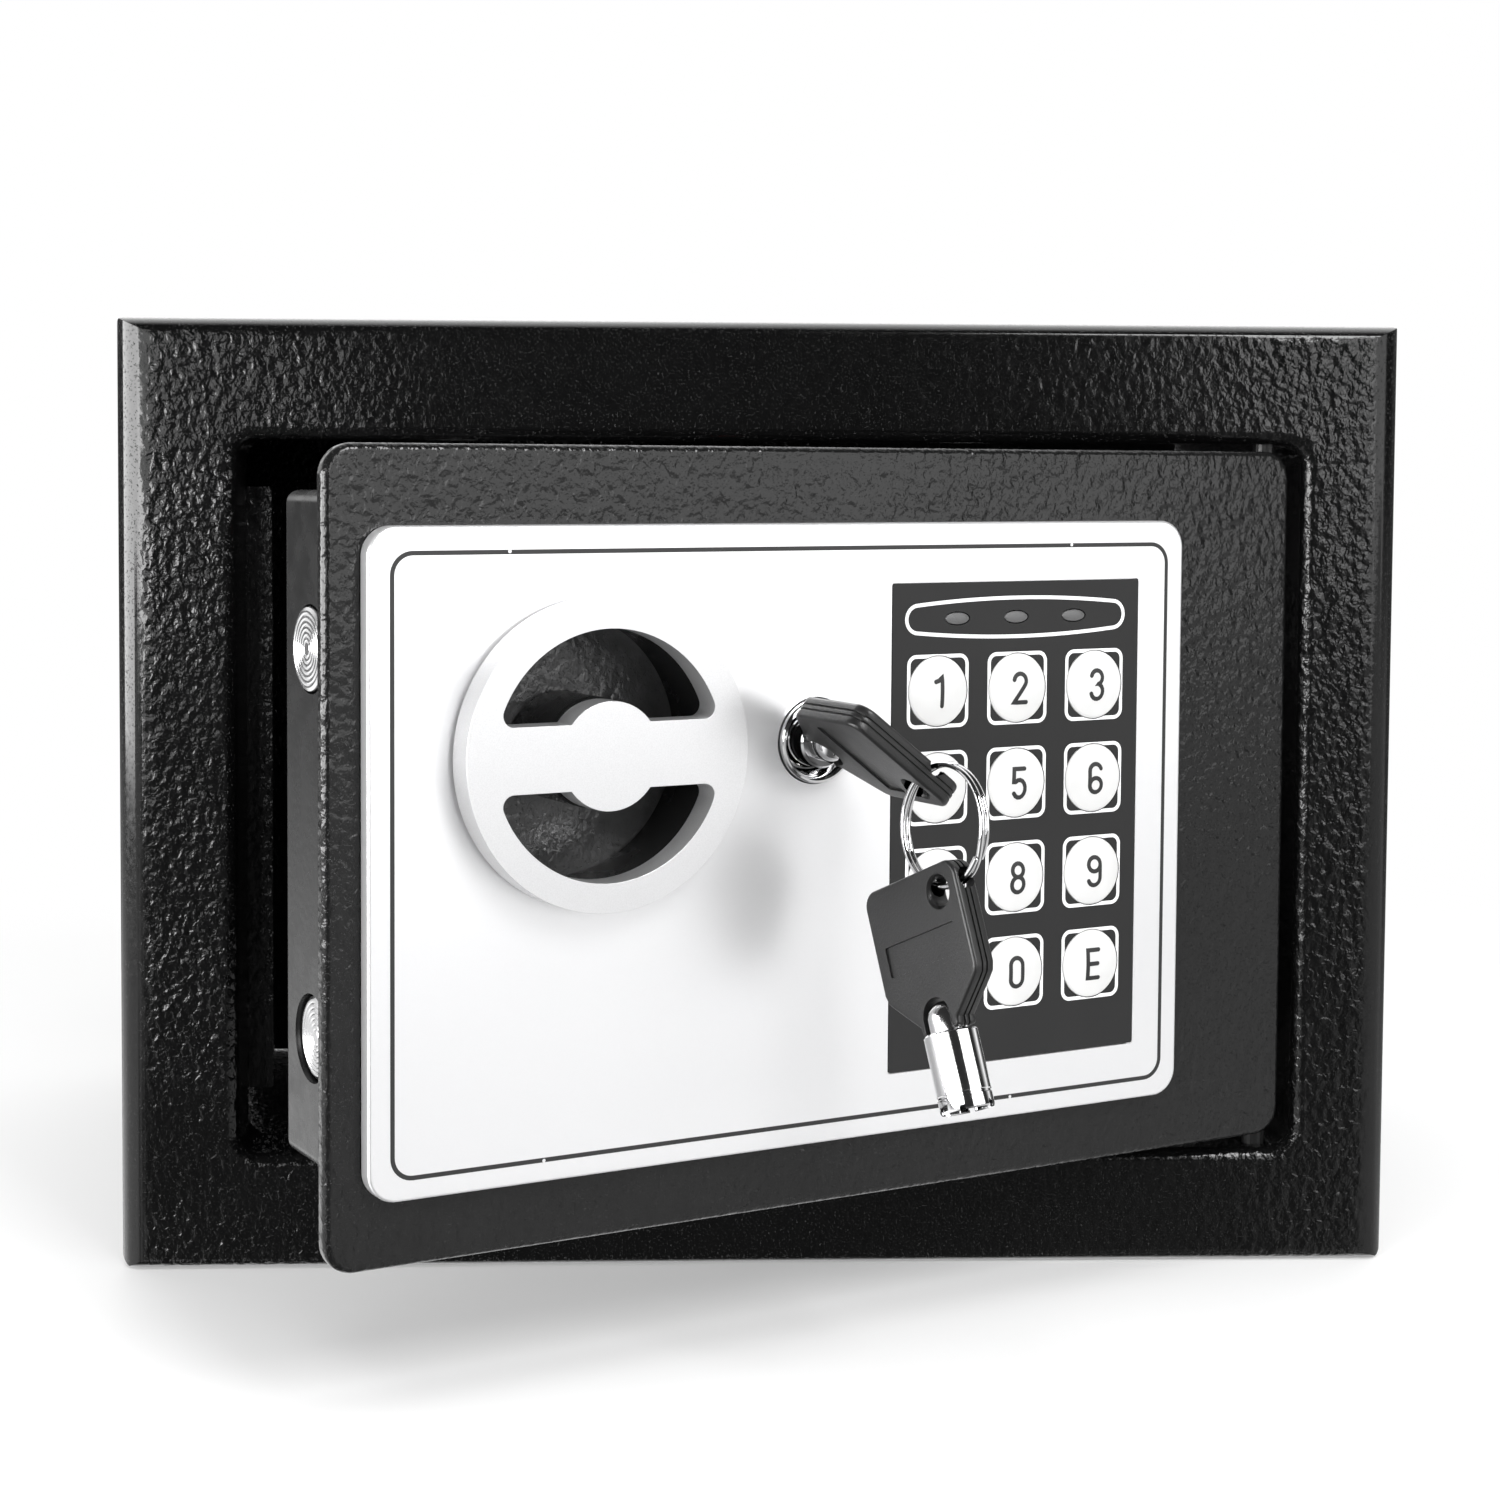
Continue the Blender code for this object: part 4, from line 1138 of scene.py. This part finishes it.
def build_world():
    """White to the camera. To the object: dim, bright high at the rear, grey below the horizon."""
    world = bpy.data.worlds.new("studio")
    SCENE.world = world
    world.use_nodes = True
    tree = world.node_tree
    tree.nodes.clear()
    link = tree.links.new
    coords = tree.nodes.new("ShaderNodeTexCoord")
    split = tree.nodes.new("ShaderNodeSeparateXYZ")
    link(coords.outputs["Generated"], split.inputs[0])

    def ramp(axis, low, high, to_low=0.0, to_high=1.0):
        node = tree.nodes.new("ShaderNodeMapRange")
        node.interpolation_type = "SMOOTHSTEP"
        link(split.outputs[axis], node.inputs["Value"])
        for socket, number in zip(SPAN_SOCKETS, (low, high, to_low, to_high)):
            node.inputs[socket].default_value = number
        return node.outputs[0]

    def calc(operation, first, second):
        node = tree.nodes.new("ShaderNodeMath")
        node.operation = operation
        for socket, value in zip(node.inputs, (first, second)):
            if hasattr(value, "is_linked"):
                link(value, socket)
            else:
                socket.default_value = value
        return node.outputs[0]

    rear = calc("MULTIPLY", ramp("Y", 0.0, 0.6), ramp("Z", 0.05, 0.16, 0.0, 1.9))
    right = ramp("X", 0.1, 0.75, 0.08, 0.85)
    left = ramp("X", -0.25, -0.8, 0.0, 1.6)
    in_front = calc("MULTIPLY", ramp("Z", 0.0, -0.10), ramp("Y", 0.45, 0.10))
    right = calc("MULTIPLY", in_front, right)
    left = calc("MULTIPLY", ramp("Z", -0.04, -0.28), left)
    behind = calc("MULTIPLY", ramp("Y", 0.10, 0.45), ramp("Z", -0.12, -0.42, 0.1, 1.3))
    below = calc("ADD", calc("ADD", right, left), behind)
    strength = calc("ADD", calc("ADD", rear, below), WORLD_LEAST)
    dim = tree.nodes.new("ShaderNodeBackground")
    link(strength, dim.inputs["Strength"])
    white = tree.nodes.new("ShaderNodeBackground")
    white.inputs["Color"].default_value = (1, 1, 1, 1)
    path = tree.nodes.new("ShaderNodeLightPath")
    mix = tree.nodes.new("ShaderNodeMixShader")
    out = tree.nodes.new("ShaderNodeOutputWorld")
    link(path.outputs["Is Camera Ray"], mix.inputs[0])
    link(dim.outputs[0], mix.inputs[1])
    link(white.outputs[0], mix.inputs[2])
    link(mix.outputs[0], out.inputs["Surface"])


def build_floor():
    """Pale floor just under the safe, fading to plain white away from it."""
    ring = [FLOOR_RADIUS * Vector((math.cos(a), math.sin(a), 0)) for a in turn_points(96)]
    mesh = bpy.data.meshes.new("floor")
    mesh.from_pydata([(spot.x, spot.y, -0.0002) for spot in ring], [], [tuple(range(96))])
    floor = bpy.data.objects.new("floor", mesh)
    SCENE.collection.objects.link(floor)
    material = bpy.data.materials.new("floor_pale")
    material.use_nodes = True
    tree = material.node_tree
    shader = tree.nodes["Principled BSDF"]
    shader.inputs["Base Color"].default_value = (0.86, 0.86, 0.86, 1)
    shader.inputs["Roughness"].default_value = 0.6
    glow = tree.nodes.new("ShaderNodeEmission")
    glow.inputs["Color"].default_value = (1, 1, 1, 1)
    coords = tree.nodes.new("ShaderNodeTexCoord")
    length = tree.nodes.new("ShaderNodeVectorMath")
    length.operation = "LENGTH"
    fade = tree.nodes.new("ShaderNodeMapRange")
    fade.interpolation_type = "SMOOTHSTEP"
    fade.inputs["From Min"].default_value = 0.20
    fade.inputs["From Max"].default_value = 0.42
    fade.inputs["To Min"].default_value = 0.25
    mix = tree.nodes.new("ShaderNodeMixShader")
    link = tree.links.new
    link(coords.outputs["Object"], length.inputs[0])
    link(length.outputs["Value"], fade.inputs["Value"])
    link(fade.outputs["Result"], mix.inputs[0])
    link(shader.outputs[0], mix.inputs[1])
    link(glow.outputs[0], mix.inputs[2])
    link(mix.outputs[0], tree.nodes["Material Output"].inputs["Surface"])
    mesh.materials.append(material)
    floor.visible_glossy = False


CAMERA_SPOT = (-0.03477, -0.545375, 0.14369)
CAMERA_TURN = (0.0439, -0.0539, 0.00527)  # yaw, pitch and roll, in radians
CAMERA_LENS = 62.153
CAMERA_SHIFT = (0.04505, -0.09444)


def build_camera():
    """Camera at the photograph's viewing angle."""
    yaw, pitch, roll = CAMERA_TURN
    ahead0 = Vector((math.sin(yaw), math.cos(yaw), 0))
    right = Vector((math.cos(yaw), -math.sin(yaw), 0))
    ahead = ahead0 * math.cos(pitch) + UP * math.sin(pitch)
    up = UP * math.cos(pitch) - ahead0 * math.sin(pitch)
    x = right * math.cos(roll) + up * math.sin(roll)
    y = up * math.cos(roll) - right * math.sin(roll)
    data = bpy.data.cameras.new("camera")
    data.lens = CAMERA_LENS
    data.sensor_width = 36.0
    data.shift_x, data.shift_y = CAMERA_SHIFT
    data.clip_start = 0.02
    camera = bpy.data.objects.new("camera", data)
    turn = Matrix((x, y, -ahead)).transposed().to_4x4()
    camera.matrix_world = Matrix.Translation(CAMERA_SPOT) @ turn
    SCENE.collection.objects.link(camera)
    SCENE.camera = camera


def build_studio():
    SCENE.view_settings.view_transform = "Standard"
    build_world()
    build_floor()
    build_camera()
    softbox("right_wall", (0.72, -0.75, 0.35), (0.02, -0.05, 0.16), (0.90, 0.60), 2.0)
    softbox("key_light", (0.55, -0.93, 0.92), (0.0, -0.10, 0.09), (0.50, 0.50), 14.0)
    softbox("left_wall", (-0.80, -0.38, 0.15), (-0.10, -0.06, 0.11), (1.15, 0.30), 12.0)
    softbox("left_front", (-0.47, -0.90, 0.23), (-0.10, -0.06, 0.12), (0.50, 0.36), 2.6)
    softbox("right_front", (0.42, -0.93, 0.30), (0.10, -0.06, 0.12), (0.20, 0.34), 2.5)
    overhead = softbox("overhead", (0.0, -0.45, 1.25), (0.0, -0.10, 0.09), (0.9, 0.5), 5.0)
    overhead.visible_glossy = False


build_studio()
build_body()
build_door()
build_fascia()
build_knob()
build_lock()
build_keys()
build_bolts()
